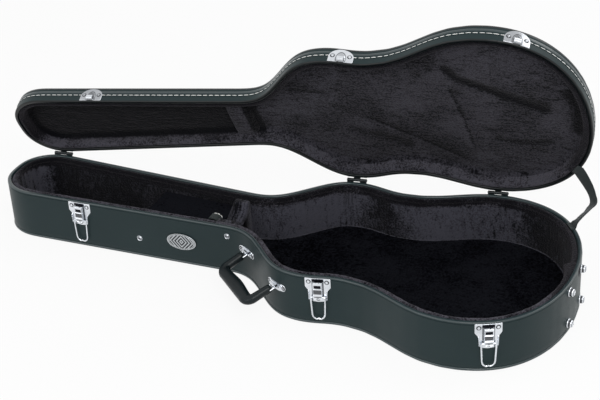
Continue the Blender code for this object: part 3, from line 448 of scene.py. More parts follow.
@dataclass(frozen=True)
class RibbedWebbing:
    """Flat woven webbing, ribbed across, with a closed edge. It follows the map along and across the strap."""

    name: str
    dark: Colour
    light: Colour
    ribs: float = 620.0
    ends: float = 900.0
    turn: float = 6.28

    def made(self) -> bpy.types.Material:
        """The finish as a material."""
        made, desk, shader, place = blank_material(self.name)
        along = desk.add("ShaderNodeUVMap", "along and across", uv_map="cloth").outputs[0]
        split = desk.add("ShaderNodeSeparateXYZ", "both ways", {0: along}).outputs
        ribs = desk.sum_up("SINE", "ribs", desk.scaled("rib turns", split[0], self.ribs * self.turn), 0.0)
        ends = desk.sum_up("SINE", "yarns", desk.scaled("yarn turns", split[1], self.ends * self.turn), 0.0)
        weave = desk.sum_up("ADD", "weave", ribs, desk.scaled("yarn share", ends, 0.6))
        fuzz = desk.noise("fuzz", place, 160.0, 3.0)
        share = desk.spread("raised yarn", weave, -1.6, 1.6, 0.0, 0.8)
        share = desk.sum_up("ADD", "with fuzz", share, desk.scaled("fuzz share", fuzz, 0.3))
        desk.fill(shader, {
            "Base Color": desk.mixed("yarn colour", share, self.dark, self.light),
            "Roughness": desk.spread("roughness", fuzz, 0.3, 0.7, 0.62, 0.82),
            "Sheen Weight": 0.12,
            "Sheen Roughness": 0.35,
        })
        raised(desk, shader, weave, 0.00015, 0.6)
        return made


@dataclass(frozen=True)
class PlatedMetal:
    """Plated or painted steel with smudges and fine scratches, and the painted shade and painted dark reflections that
    a piece stores.
    """

    name: str
    colour: Colour
    dulled: Colour
    roughness: float = 0.12
    smudged: float = 0.10
    metallic: float = 1.0
    scratch_depth: float = 0.00003
    shadow: Colour = (0.012, 0.013, 0.016, 1.0)

    def made(self) -> bpy.types.Material:
        """The finish as a material."""
        made, desk, shader, place = blank_material(self.name)
        wear = desk.shared("wear", EFFECTS.wear, {"Place": place, "Scratches per metre": 900.0})
        smudges, scratches = wear.outputs["Smudges"], wear.outputs["Scratches"]
        share = desk.scaled("dulled share", smudges, 0.5)
        plated = desk.mixed("metal colour", share, self.colour, self.dulled)
        # painted shade: each piece stores how far its points are darkened towards the shadow colour, for shade in
        # hollows, gaps and rings and for dark reflections
        hollow = desk.stored("deep recesses", "recess")
        dull = desk.spread("smudged", smudges, 0.0, 1.0, self.roughness, self.roughness + self.smudged)
        desk.fill(shader, {
            "Base Color": desk.mixed("with dark recesses", hollow, plated, self.shadow),
            "Roughness": desk.sum_up("ADD", "scratched", dull, desk.scaled("scratch share", scratches, 0.12)),
            "Metallic": self.metallic,
        })
        raised(desk, shader, scratches, self.scratch_depth, 0.25)
        return made


@dataclass(frozen=True)
class AgedPewter:
    """Cast pewter, dark in its hollows and rubbed bright on top. It reads how high each point stands."""

    name: str
    hollow: Colour
    rubbed: Colour

    def made(self) -> bpy.types.Material:
        """The finish as a material."""
        made, desk, shader, place = blank_material(self.name)
        height = desk.stored("how high it stands", "relief")
        wear = desk.shared("wear", EFFECTS.wear, {"Place": place})
        cast = desk.noise("cast skin", place, 1300.0, 3.0)
        tone = desk.sum_up("ADD", "tone", height, desk.scaled("skin share", cast, 0.35))
        share = desk.spread("rubbed share", tone, 0.30, 1.15, 0.0, 1.0)
        desk.fill(shader, {
            "Base Color": desk.mixed("pewter colour", share, self.hollow, self.rubbed),
            "Roughness": desk.spread("roughness", wear.outputs["Smudges"], 0.0, 1.0, 0.34, 0.5),
            "Metallic": 0.85,
        })
        raised(desk, shader, cast, 0.00012, 0.5)
        return made


@dataclass(frozen=True)
class SewingThread:
    """Waxed thread with a fine twist."""

    name: str
    colour: Colour
    soiled: Colour

    def made(self) -> bpy.types.Material:
        """The finish as a material."""
        made, desk, shader, place = blank_material(self.name)
        fibre = desk.noise("fibre", place, 700.0, 2.0)
        share = desk.spread("soiled share", desk.noise("soil", place, 24.0, 3.0), 0.45, 0.75, 0.0, 0.7)
        desk.fill(shader, {
            "Base Color": desk.mixed("thread colour", share, self.colour, self.soiled),
            "Roughness": desk.spread("roughness", fibre, 0.3, 0.7, 0.5, 0.7),
        })
        raised(desk, shader, fibre, 0.0001, 0.5)
        return made


@dataclass(frozen=True)
class PaleFloor:
    """A white paper floor. The camera and reflections see it nearly white, and it keeps a light shadow."""

    name: str = "paper_floor"
    paper: Colour = (0.9, 0.9, 0.9, 1.0)
    fibre: Colour = (0.8, 0.8, 0.8, 1.0)
    lift: float = 0.9

    def made(self) -> bpy.types.Material:
        """The floor's material."""
        made, desk, shader, place = blank_material(self.name)
        share = desk.spread("fibre tone", desk.noise("paper fibre", place, 60.0, 2.0), 0.3, 0.7, 0.0, 0.03)
        colour = desk.mixed("paper colour", share, self.paper, self.fibre)
        desk.fill(shader, {"Base Color": colour, "Roughness": 0.9, "Specular IOR Level": 0.1})
        lifted = desk.scaled("lift", desk.seen_straight(), self.lift)
        glow = desk.add("ShaderNodeEmission", "white backdrop", {"Color": (1, 1, 1, 1), "Strength": 1.0})
        ways = {0: lifted, 1: shader.outputs[0], 2: glow.outputs[0]}
        both = desk.add("ShaderNodeMixShader", "floor and backdrop", ways).outputs[0]
        desk.fill(made.node_tree.nodes["Material Output"], {"Surface": both})
        return made


@dataclass
class Finishes:
    """Every finish on the case, each made once."""

    upright: tuple[float, float, float] = (1.0, 1.0, 0.3)
    lid_lean: tuple[float, float, float] = (math.radians(-67.5), 0.0, math.radians(8.4))

    @cached_property
    def vinyl(self) -> bpy.types.Material:
        """The satin vinyl of both shells."""
        return CoatedCloth("satin_vinyl", rgb(28, 43, 45), rgb(37, 52, 54)).made()

    @cached_property
    def edging(self) -> bpy.types.Material:
        """The lid's vinyl in a darker, glossier copy, as painted shade on its rounded top edge and on the band's inner
        face and rim rounding.
        """
        gloss = {"roughness": 0.3, "shine": 0.3, "coat": 0.1, "coat_roughness": 0.16}
        return CoatedCloth("vinyl_edging", rgb(6, 12, 14), rgb(20, 29, 32), **gloss).made()

    @cached_property
    def turned_edge(self) -> bpy.types.Material:
        """Vinyl stretched over a narrow edge, which shines more, in a lighter colour that is a painted highlight."""
        gloss = {"roughness": 0.3, "shine": 0.5, "coat": 0.35, "coat_roughness": 0.14}
        return CoatedCloth("vinyl_turned_edge", rgb(36, 51, 54), rgb(50, 66, 69), **gloss).made()

    @cached_property
    def wall_plush(self) -> bpy.types.Material:
        """The plush of the base's walls."""
        return PlushPile("wall_plush", rgb(10, 11, 15), rgb(73, 73, 82), lay=self.upright, span=(0.16, 0.94)).made()

    @cached_property
    def roll_plush(self) -> bpy.types.Material:
        """A lighter copy of the walls' plush, as painted light on the rolled edges and the lid's side walls."""
        pile = {"patches": 22.0, "sheen": 0.14, "sheen_tint": (0.8, 0.76, 0.84, 1)}
        return PlushPile("roll_plush", rgb(16, 16, 20), rgb(78, 77, 85), **pile).made()

    @cached_property
    def floor_plush(self) -> bpy.types.Material:
        """The floor's plush, in the walls' shade."""
        return PlushPile("floor_plush", rgb(6, 6, 9), rgb(27, 28, 33), sheen=0.0, shine=0.0).made()

    @cached_property
    def lid_plush(self) -> bpy.types.Material:
        """The lid's plush, brushed along its open slope."""
        pile = {"lay": (0.2, 1.0, 1.0), "turn": self.lid_lean, "patches": 11.0, "span": (0.19, 0.90)}
        return PlushPile("lid_plush", rgb(10, 11, 14), rgb(63, 62, 69), **pile).made()

    @cached_property
    def webbing(self) -> bpy.types.Material:
        """The webbing of the strap and the pull tab."""
        return RibbedWebbing("strap_webbing", rgb(12, 17, 18), rgb(44, 54, 55)).made()

    @cached_property
    def grip(self) -> bpy.types.Material:
        """The moulded handle."""
        skin = {"roughness": 0.34, "cells": 520.0, "shine": 0.24, "coat": 0.06}
        return CoatedCloth("moulded_grip", rgb(7, 17, 20), rgb(18, 31, 36), **skin).made()

    @cached_property
    def chrome(self) -> bpy.types.Material:
        """The bright fittings."""
        return PlatedMetal("bright_chrome", (0.77, 0.80, 0.84, 1), (0.52, 0.55, 0.59, 1)).made()

    @cached_property
    def black_steel(self) -> bpy.types.Material:
        """The hinges."""
        dark, worn = (0.018, 0.022, 0.023, 1), (0.05, 0.055, 0.06, 1)
        return PlatedMetal("black_steel", dark, worn, roughness=0.36, metallic=0.6).made()

    @cached_property
    def pewter(self) -> bpy.types.Material:
        """The badge."""
        return AgedPewter("aged_pewter", rgb(50, 53, 56), rgb(188, 192, 195)).made()

    @cached_property
    def thread(self) -> bpy.types.Material:
        """The pale stitches."""
        return SewingThread("waxed_thread", rgb(250, 250, 248), rgb(196, 198, 196)).made()


# The case's plan


def frame_of(x: Vector, y: Vector, z: Vector, place: Vector) -> Matrix:
    """A frame from its three directions and its place."""
    frame = Matrix((x, y, z)).transposed().to_4x4()
    frame.translation = place
    return frame


def travelled(points: np.ndarray) -> np.ndarray:
    """How far along a line each of its points lies."""
    return np.concatenate([[0], np.cumsum(np.linalg.norm(np.diff(points, axis=0), axis=1))])


def heading(loop: np.ndarray) -> np.ndarray:
    """The direction of travel at each point of a closed outline in plan."""
    run = np.roll(loop, -1, 0) - np.roll(loop, 1, 0)
    return run / np.linalg.norm(run, axis=1)[:, None]


def right_of(run: np.ndarray) -> np.ndarray:
    """Directions in plan, turned a quarter clockwise."""
    return np.stack([run[:, 1], -run[:, 0]], 1)


def evened(loop: np.ndarray, count: int) -> tuple[np.ndarray, np.ndarray, float]:
    """An even number of points on a loop whose last point repeats its first.

    Args:
        loop: The loop.
        count: How many points to give.

    Returns:
        The points, how far along the loop each lies, and the loop's length.
    """
    travel = travelled(loop)
    even = np.linspace(0, travel[-1], count, endpoint=False)
    return np.stack([np.interp(even, travel, loop[:, k]) for k in (0, 1)], 1), even, float(travel[-1])


@dataclass(frozen=True)
class RingLine:
    """A smooth line round the case, evenly sampled from the butt round by the hinges."""

    points: np.ndarray
    outward: np.ndarray
    travel: np.ndarray
    around: float

    def nearest(self, place: Vector) -> int:
        """The number of the sample nearest to a place in plan."""
        gap = self.points - np.array((place.x, place.y))
        return int(np.argmin((gap**2).sum(1)))

    def frame_by(self, place: Vector, height: float) -> Matrix:
        """A frame on the wall by a place: X along the wall, Y up, Z out."""
        number = self.nearest(place)
        out = Vector((*self.outward[number], 0)).normalized()
        up = Vector((0, 0, 1))
        return frame_of(up.cross(out), up, out, Vector((*self.points[number], height)))

    def half_at(self, x: float) -> float:
        """Half the outer width at a place along X."""
        hinge_side = self.points[:, 1] > 0
        order = np.argsort(self.points[hinge_side, 0])
        xs, ys = self.points[hinge_side][order].T
        return float(np.interp(x, xs, ys))


@dataclass(frozen=True)
class CaseOutline:
    """The outer face in plan, by the widths that set it."""

    case_length: float = 1.085
    head_flat: float = 0.022
    head_station: float = 0.075
    head_width: float = 0.150
    neck_station: float = 0.475
    neck_width: float = 0.122
    shoulder_station: float = 0.552
    shoulder_width: float = 0.199
    shoulder_slope: float = math.radians(46)
    upper_station: float = 0.650
    upper_width: float = 0.318
    waist_station: float = 0.730
    waist_width: float = 0.294
    lower_station: float = 0.915
    lower_width: float = 0.398
    butt_fullness: float = 0.58
    bout_fullness: float = 0.635
    head_fullness: float = 0.558
    flow: float = 0.405

    @property
    def middle(self) -> float:
        """The station of the frame's origin."""
        return self.case_length / 2

    def x_of(self, station: float) -> float:
        """A station's place along X."""
        return station - self.middle

    def corner(self, station: float, width: float) -> Vector:
        """The +Y corner of a width at a station."""
        return Vector((self.x_of(station), width / 2, 0))

    def half(self) -> list[Vector]:
        """The outer face from the middle of the butt to the middle of the head, on the +Y side."""
        butt = Vector((self.middle, 0, 0))
        lower = self.corner(self.lower_station, self.lower_width)
        waist = self.corner(self.waist_station, self.waist_width)
        upper = self.corner(self.upper_station, self.upper_width)
        shoulder = self.corner(self.shoulder_station, self.shoulder_width)
        neck = self.corner(self.neck_station, self.neck_width)
        head = self.corner(self.head_station, self.head_width)
        end = Vector((-self.middle, self.head_flat / 2, 0))
        taper = (neck - head).normalized()
        slope = Vector((math.cos(self.shoulder_slope), math.sin(self.shoulder_slope), 0))
        along, outward = Vector((1, 0, 0)), Vector((0, 1, 0))

        def run(start: Vector, leave: Vector, finish: Vector, arrive: Vector, steps: int) -> tuple:
            reach = self.flow * (finish - start).length
            return start, start + leave * reach, finish - arrive * reach, finish, steps

        from_butt = butt + outward * self.butt_fullness * lower.y
        to_lower = lower + along * self.bout_fullness * (self.middle - lower.x)
        from_head = head - taper * self.head_fullness * self.head_station
        to_end = end + outward * self.head_fullness * (head.y - end.y)
        spans = [
            (butt, from_butt, to_lower, lower, 10),
            run(lower, -along, waist, -along, 6),
            run(waist, -along, upper, -along, 4),
            run(upper, -along, shoulder, -slope, 5),
            run(shoulder, -slope, neck, -taper, 5),
            (neck, neck - taper * 0.01, head + taper * 0.01, head, 1),
            (head, from_head, to_end, end, 7),
        ]
        points: list[Vector] = []
        for first, leave, arrive, last, steps in spans:
            points += list(interpolate_bezier(first, leave, arrive, last, steps + 1))[:-1]
        return points + [end, Vector((-self.middle, 0, 0))]

    @cached_property
    def fine(self) -> RingLine:
        """The line on which the small fittings sit."""
        return self.line(0.001)

    def line(self, spacing: float, longest: float = 0.03) -> RingLine:
        """The smooth line that touches the middle of each of the CAD outline's sides.

        Args:
            spacing: The distance between samples.
            longest: Straight sides longer than this are first divided.

        Returns:
            The evenly sampled line.
        """
        half = self.half()
        ring = [np.array((p.x, p.y)) for p in half] + [np.array((p.x, -p.y)) for p in reversed(half[1:-1])]
        corners = []
        for first, second in zip(ring, ring[1:] + ring[:1]):
            parts = max(1, math.ceil(np.linalg.norm(second - first) / longest - 1e-6))
            corners += [first + (second - first) * k / parts for k in range(parts)]
        shares = np.linspace(0, 1, 24, endpoint=False)[:, None]
        pieces = []
        for i, here in enumerate(corners):
            before = (corners[i - 1] + here) / 2
            after = (here + corners[(i + 1) % len(corners)]) / 2
            pieces.append(before * (1 - shares) ** 2 + here * 2 * shares * (1 - shares) + after * shares**2)
        fine = np.concatenate(pieces)
        loop = np.concatenate([fine, fine[:1]])
        points, even, around = evened(loop, int(travelled(loop)[-1] / spacing))
        return RingLine(points, right_of(heading(points)), even, around)


@dataclass(frozen=True)
class CaseSizes:
    """The sizes that several sub-assemblies share."""

    base_depth: float = 0.0955
    lid_depth: float = 0.036
    rim_gap: float = 0.0006
    wall: float = 0.007
    panel: float = 0.005
    seam: float = 0.0003
    side_pad: float = 0.0105
    floor_pad: float = 0.006
    lid_pad: float = 0.005

    @property
    def lid_rim(self) -> float:
        """The height of the shut lid's rim."""
        return self.base_depth + self.rim_gap

    @property
    def closed_top(self) -> float:
        """The height of the shut case."""
        return self.base_depth + self.lid_depth

    @property
    def lining(self) -> float:
        """How far the side lining's face lies inside the outer face."""
        return self.wall + self.side_pad

    @property
    def floor_top(self) -> float:
        """The height of the floor lining's face."""
        return self.panel + self.seam + self.floor_pad


@dataclass(frozen=True)
class LidPlace:
    """Where the shut lid's shapes go while the lid stands open."""

    turned: Matrix

    @classmethod
    def from_joints(cls, joints: Iterable[Mapping]) -> "LidPlace":
        """Reads the lid's hinge, whose upper limit is the shut lid.

        Args:
            joints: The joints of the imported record.

        Returns:
            The lid's place.
        """
        hinge = next(joint for joint in joints if joint["name"] == "lid_hinge")
        middle = Vector(hinge["pos_m"])
        opened = Matrix.Rotation(-math.radians(hinge["range_deg"][1]), 4, Vector(hinge["axis"]))
        return cls(Matrix.Translation(middle) @ opened @ Matrix.Translation(-middle))


# Mesh making


def cloth_noise(places: np.ndarray, size: float, seed: float = 0.0) -> np.ndarray:
    """Smooth noise from about -1 to 1.

    Args:
        places: Points, with X, Y and Z last.
        size: The distance over which it changes.
        seed: Moves the pattern.

    Returns:
        One number for each point.
    """
    flat = (places.reshape(-1, 3) / size + seed).tolist()
    return np.array([noise.noise(Vector(p)) for p in flat]).reshape(places.shape[:-1])


def turned_to(frame: Matrix) -> Move:
    """A function that moves points from a frame to the world."""
    turning = np.array(frame)
    return lambda points: points @ turning[:3, :3].T + turning[:3, 3]


def at_height(plan: np.ndarray, height: Union[float, np.ndarray]) -> np.ndarray:
    """Points in plan with one height, or a height each."""
    return np.column_stack([plan, np.full(len(plan), height)])


def flat_at(height: float) -> Move:
    """A function that gives points in plan one height."""
    return lambda plan: at_height(plan, height)


def inside(points: np.ndarray, loop: np.ndarray, clear: float) -> np.ndarray:
    """Which points lie inside a loop and clear of its corners.

    Args:
        points: The points in plan.
        loop: The loop's corners in plan.
        clear: The least distance from any corner.

    Returns:
        True or false for each point.
    """
    ahead = np.roll(loop, -1, 0)
    x, y = points[:, :1], points[:, 1:]
    crosses = (loop[:, 1] > y) != (ahead[:, 1] > y)
    rise = np.where(np.abs(ahead[:, 1] - loop[:, 1]) < 1e-12, 1e-12, ahead[:, 1] - loop[:, 1])
    at = loop[:, 0] + (y - loop[:, 1]) * (ahead[:, 0] - loop[:, 0]) / rise
    within = (crosses & (x < at)).sum(1) % 2 == 1
    gaps = np.sqrt(((points[:, None] - loop[None]) ** 2).sum(2)).min(1)
    return within & (gaps > clear)


class Skin:
    """Collects the points, faces and map of one mesh, then makes it an object."""

    def __init__(self) -> None:
        """Starts with nothing."""
        self.points: list[np.ndarray] = []
        self.faces: list[tuple[int, ...]] = []
        self.map: list[tuple[float, float]] = []
        self.finish: list[int] = []
        self.count = 0

    def band(
        self, grid: np.ndarray, travel: np.ndarray, rise: np.ndarray, around: float = 0.0, closed: bool = False,
        finish: Optional[Sequence[int]] = None,
    ) -> np.ndarray:
        """Adds a band of faces.

        Args:
            grid: Points in rows, of which each is a section: (rows, points in a section, 3).
            travel: How far along each section stands, for the map.
            rise: How far across each point of a section lies, for the map.
            around: The whole way round, where the last section joins the first; 0 where it doesn't.
            closed: Whether a section's last point joins its first.
            finish: The material number of each span of a section.

        Returns:
            The points' numbers, as (rows, points in a section).
        """
        rows, across = grid.shape[:2]
        numbers = np.arange(rows * across).reshape(rows, across) + self.count
        self.points.append(grid.reshape(-1, 3))
        self.count += rows * across
        widths = list(rise) + ([rise[-1] + float(np.linalg.norm(grid[0, -1] - grid[0, 0]))] if closed else [])
        spans = across if closed else across - 1
        for i in range(rows if around else rows - 1):
            j = (i + 1) % rows
            start, end = travel[i], travel[j] if j else around
            for k in range(spans):
                m = (k + 1) % across
                self.faces.append((numbers[i, k], numbers[i, m], numbers[j, m], numbers[j, k]))
                low, high = widths[k], widths[k + 1]
                self.map += [(start, low), (start, high), (end, high), (end, low)]
                self.finish.append(finish[k] if finish else 0)
        return numbers

    def end(self, numbers: Sequence[int]) -> None:
        """Closes a section with one face."""
        self.faces.append(tuple(int(n) for n in numbers))
        self.map += [(0.0, 0.0)] * len(numbers)
        self.finish.append(0)

    def rod(self, grid: np.ndarray, travel: Sequence[float], rise: Sequence[float]) -> None:
        """Adds a closed solid: a band of closed sections, with a face at each end."""
        numbers = self.band(grid, travel, rise, closed=True)
        self.end(numbers[0])
        self.end(numbers[-1])

    def cap(self, rim: np.ndarray, loop: np.ndarray, spacing: float, height: Move) -> None:
        """Fills a loop with even triangles.

        Args:
            rim: The numbers of the loop's points, which are already in the mesh.
            loop: The loop in plan.
            spacing: The distance between the points inside it.
            height: Gives the points' places in space from their places in plan.
        """
        low, high = loop.min(0), loop.max(0)
        lines = [np.arange(low[k] + spacing / 2, high[k], spacing * (1, 0.866)[k]) for k in (0, 1)]
        xs, ys = np.meshgrid(*lines)
        xs = xs + (np.arange(len(lines[1]))[:, None] % 2) * spacing / 2
        inner = np.stack([xs.ravel(), ys.ravel()], 1)
        inner = inner[inside(inner, loop, spacing * 0.55)]
        flat = np.concatenate([loop, inner])
        _, _, faces, origins, _, _ = delaunay_2d_cdt(
            [Vector(p) for p in flat.tolist()], [], [list(range(len(loop)))], 1, 1e-7, True
        )
        numbers = np.concatenate([rim, np.arange(len(inner)) + self.count])
        self.points.append(height(inner))
        self.count += len(inner)
        for face in faces:
            used = [origins[v][0] for v in face]
            if not inside(flat[used].mean(0, keepdims=True), loop, -1.0)[0]:
                continue
            self.faces.append(tuple(int(numbers[v]) for v in used))
            self.map += [tuple(flat[v]) for v in used]
            self.finish.append(0)

    def made(
        self, name: str, materials: Sequence[bpy.types.Material], turn: Matrix = Matrix(), sharp: float = 40.0
    ) -> bpy.types.Object:
        """Makes the object, with its faces turned outwards.

        Args:
            name: The piece's name.
            materials: Its finishes, in the order of the material numbers.
            turn: Where the shape goes.
            sharp: Edges steeper than this many degrees stay crisp.

        Returns:
            The new object.
        """
        places = turned_to(turn)(np.concatenate(self.points))
        mesh = bpy.data.meshes.new(name)
        mesh.from_pydata(places.tolist(), [], [tuple(int(v) for v in f) for f in self.faces])
        layer = mesh.uv_layers.new(name="cloth")
        layer.uv.foreach_set("vector", np.array(self.map, np.float32).ravel())
        for material in materials:
            mesh.materials.append(material)
        mesh.polygons.foreach_set("material_index", np.array(self.finish, np.int32))
        return placed(name, mesh, sharp)


def placed(name: str, mesh: bpy.types.Mesh, sharp: float = 40.0) -> bpy.types.Object:
    """Puts a closed mesh in the scene, smooth, with its faces turned outwards.

    Args:
        name: The piece's name.
        mesh: Its mesh.
        sharp: Edges steeper than this many degrees stay crisp.

    Returns:
        The new object.
    """
    shape = bmesh.new()
    shape.from_mesh(mesh)
    bmesh.ops.recalc_face_normals(shape, faces=shape.faces)
    shape.to_mesh(mesh)
    shape.free()
    mesh.shade_smooth()
    mesh.set_sharp_from_angle(angle=math.radians(sharp))
    made = bpy.data.objects.new(name, mesh)
    bpy.context.scene.collection.objects.link(made)
    return made


def arc(centre: tuple[float, float], radius: float, start: float, end: float, steps: int) -> list[tuple[float, float]]:
    """Points on an arc, both ends included.

    Args:
        centre: Its centre.
        radius: Its radius.
        start: The angle of its first point, in degrees.
        end: The angle of its last point.
        steps: How many parts it is divided into.

    Returns:
        The points, one more than the parts.
    """
    turns = [math.radians(start + (end - start) * i / steps) for i in range(steps + 1)]
    return [(centre[0] + radius * math.cos(t), centre[1] + radius * math.sin(t)) for t in turns]


def stepped(corners: Outline, step: float) -> list[tuple[float, float]]:
    """A line through corners, with extra points so that none are further apart than a step."""
    points = [corners[0]]
    for (x0, y0), (x1, y1) in zip(corners, corners[1:]):
        parts = max(1, math.ceil(math.hypot(x1 - x0, y1 - y0) / step))
        points += [(x0 + (x1 - x0) * k / parts, y0 + (y1 - y0) * k / parts) for k in range(1, parts + 1)]
    return points


def swept_grid(line: RingLine, profile: Outline) -> tuple[np.ndarray, np.ndarray]:
    """The points of a profile swept round a line.

    Args:
        line: The line.
        profile: Corners as (how far inside the line, height).

    Returns:
        The grid of points, and how far along the profile each corner lies.
    """
    corners = np.array(profile)
    grid = np.empty((len(line.points), len(corners), 3))
    grid[:, :, :2] = line.points[:, None] - line.outward[:, None] * corners[None, :, :1]
    grid[:, :, 2] = corners[None, :, 1]
    return grid, travelled(corners)


def facing(grid: np.ndarray) -> np.ndarray:
    """Unit normals of a grid of points, inside the sweep's own sections."""
    along = np.roll(grid, -1, 0) - np.roll(grid, 1, 0)
    across = np.gradient(grid, axis=1)
    normal = np.cross(along, across)
    return normal / np.maximum(np.linalg.norm(normal, axis=2, keepdims=True), 1e-12)


def softened(
    thing: bpy.types.Object, radius: float, steps: int, fineness: int, lumps: float, seed: float
) -> bpy.types.Object:
    """Turns a blocky solid into a padded one: rounded edges, fine faces and slight lumps.

    Args:
        thing: The solid.
        radius: The radius of its edges.
        steps: The faces across an edge.
        fineness: How often its faces are divided.
        lumps: How far the surface moves in and out.
        seed: Moves the lumps' pattern.

    Returns:
        The same object.
    """
    edge = thing.modifiers.new("edge", "BEVEL")
    edge.width, edge.segments, edge.limit_method = radius, steps, "ANGLE"
    edge.angle_limit = math.radians(40)
    fine = thing.modifiers.new("fine", "SUBSURF")
    fine.subdivision_type, fine.levels, fine.render_levels = "SIMPLE", fineness, fineness
    bpy.context.view_layer.update()
    graph = bpy.context.evaluated_depsgraph_get()
    mesh = bpy.data.meshes.new_from_object(thing.evaluated_get(graph))
    thing.modifiers.clear()
    thing.data = mesh
    mesh.shade_smooth()
    places, normals = points_of(thing), points_of(thing, "normal")
    move = cloth_noise(places, 0.03, seed) * 0.65 + cloth_noise(places, 0.009, seed + 5) * 0.35
    places -= normals * (lumps * (0.5 - 0.5 * move))[:, None]
    mesh.vertices.foreach_set("co", places.astype(np.float32).ravel())
    mesh.update()
    return thing


def give(thing: bpy.types.Object, name: str, values: np.ndarray) -> None:
    """Stores one number for each point of a piece, for its finish to read."""
    stored = thing.data.attributes.new(name, "FLOAT", "POINT")
    stored.data.foreach_set("value", np.asarray(values, np.float32).ravel())


def points_of(thing: bpy.types.Object, what: str = "co") -> np.ndarray:
    """A piece's points, or what else each of them has in three numbers."""
    found = np.empty(len(thing.data.vertices) * 3, np.float32)
    thing.data.vertices.foreach_get(what, found)
    return found.reshape(-1, 3).astype(float)


def rounded_corners(corners: Sequence[tuple[float, float, float]], steps: int = 5) -> list[tuple[float, float]]:
    """A closed outline whose corners, given as (x, y, radius), are rounded.

    Args:
        corners: The corners in order.
        steps: The sides of each rounding.

    Returns:
        The outline's points.
    """
    points = []
    for i, (x, y, radius) in enumerate(corners):
        here = Vector((x, y, 0))
        if not radius:
            points.append((x, y))
            continue
        before = Vector((*corners[i - 1][:2], 0)) - here
        after = Vector((*corners[(i + 1) % len(corners)][:2], 0)) - here
        half = before.angle(after) / 2
        reach = min(radius / math.tan(half), before.length * 0.49, after.length * 0.49)
        first, last = here + before.normalized() * reach, here + after.normalized() * reach
        handles = [p + (here - p) * 0.55 for p in (first, last)]
        points += [(p.x, p.y) for p in interpolate_bezier(first, handles[0], handles[1], last, steps + 1)]
    return points


def even_loop(points: Outline, spacing: float) -> np.ndarray:
    """A closed outline's points, evenly spaced, going anticlockwise."""
    loop = np.array(list(points) + [points[0]], float)
    x, y = loop.T
    if (x[:-1] * y[1:] - x[1:] * y[:-1]).sum() < 0:
        loop = loop[::-1]
    return evened(loop, max(8, int(travelled(loop)[-1] / spacing)))[0]


def smooth_step(value: np.ndarray, start: float, end: float) -> np.ndarray:
    """0 before start, 1 after end and smooth between; the other way round where start is past end."""
    share = np.clip((value - start) / (end - start), 0, 1)
    return share * share * (3 - 2 * share)


def patch(*spans: tuple[np.ndarray, float, float]) -> np.ndarray:
    """The product of smooth steps, each given as its value, start and end: 1 within all of them."""
    found = 1.0
    for value, start, end in spans:
        found = found * smooth_step(value, start, end)
    return found


@dataclass(frozen=True)
class Pressing:
    """A pressed sheet: its outline, the heights of its back and front, and the relief on the front.

    The relief takes plan points and gives each one's extra height and how much painted shade it gets, from 0 to 1.
    """

    outline: Outline
    back: float
    front: float
    relief: Callable[[np.ndarray], Shaded]
    spacing: float = 0.0007
    edge: float = 0.0003

    def add_to(self, skin: Skin, settle: Move) -> np.ndarray:
        """Adds the sheet to a skin.

        Args:
            skin: The skin to add it to.
            settle: Moves points from the sheet's flat frame to where they lie.

        Returns:
            How much painted shade each new point gets.
        """
        loop = even_loop(self.outline, self.spacing)
        inner = loop - right_of(heading(loop)) * self.edge
        rise, shade = self.relief(inner)
        rows = [at_height(loop, self.back), at_height(loop, self.front - self.edge)]
        grid = np.stack(rows + [at_height(inner, self.front + rise)], 1)
        shape = grid.shape
        grid = settle(grid.reshape(-1, 3)).reshape(shape)
        numbers = skin.band(grid, np.linspace(0, 0.1, len(loop)), np.array([0, 0.001, 0.0015]), 0.1)
        dark = np.zeros((len(loop), 3))
        dark[:, 2] = shade
        shades = [dark.ravel()]

        def front_face(plan: np.ndarray) -> np.ndarray:
            height, dim = self.relief(plan)
            shades.append(dim)
            return settle(at_height(plan, self.front + height))

        def back_face(plan: np.ndarray) -> np.ndarray:
            shades.append(np.zeros(len(plan)))
            return settle(at_height(plan, self.back))

        skin.cap(numbers[:, 2], inner, self.spacing, front_face)
        skin.cap(numbers[:, 0], loop, self.spacing * 8, back_face)
        return np.concatenate(shades)


def stud(plan: np.ndarray, x: float, y: float, radius: float, rise: float) -> Shaded:
    """A rivet's dome and the painted shade in the ring round it, at each plan point.

    Args:
        plan: The points in plan.
        x: The rivet's place.
        y: The rivet's place.
        radius: The dome's radius.
        rise: The dome's height.

    Returns:
        How high the dome stands and how much painted shade its ring gets at each point.
    """
    gap = np.hypot(plan[:, 0] - x, plan[:, 1] - y) / radius
    dome = rise * np.sqrt(np.clip(1 - np.clip(gap, 0, 1) ** 2.4, 0, 1))
    return dome, patch((gap, 0.70, 0.88), (gap, 1.45, 1.2))


# Sub-assemblies


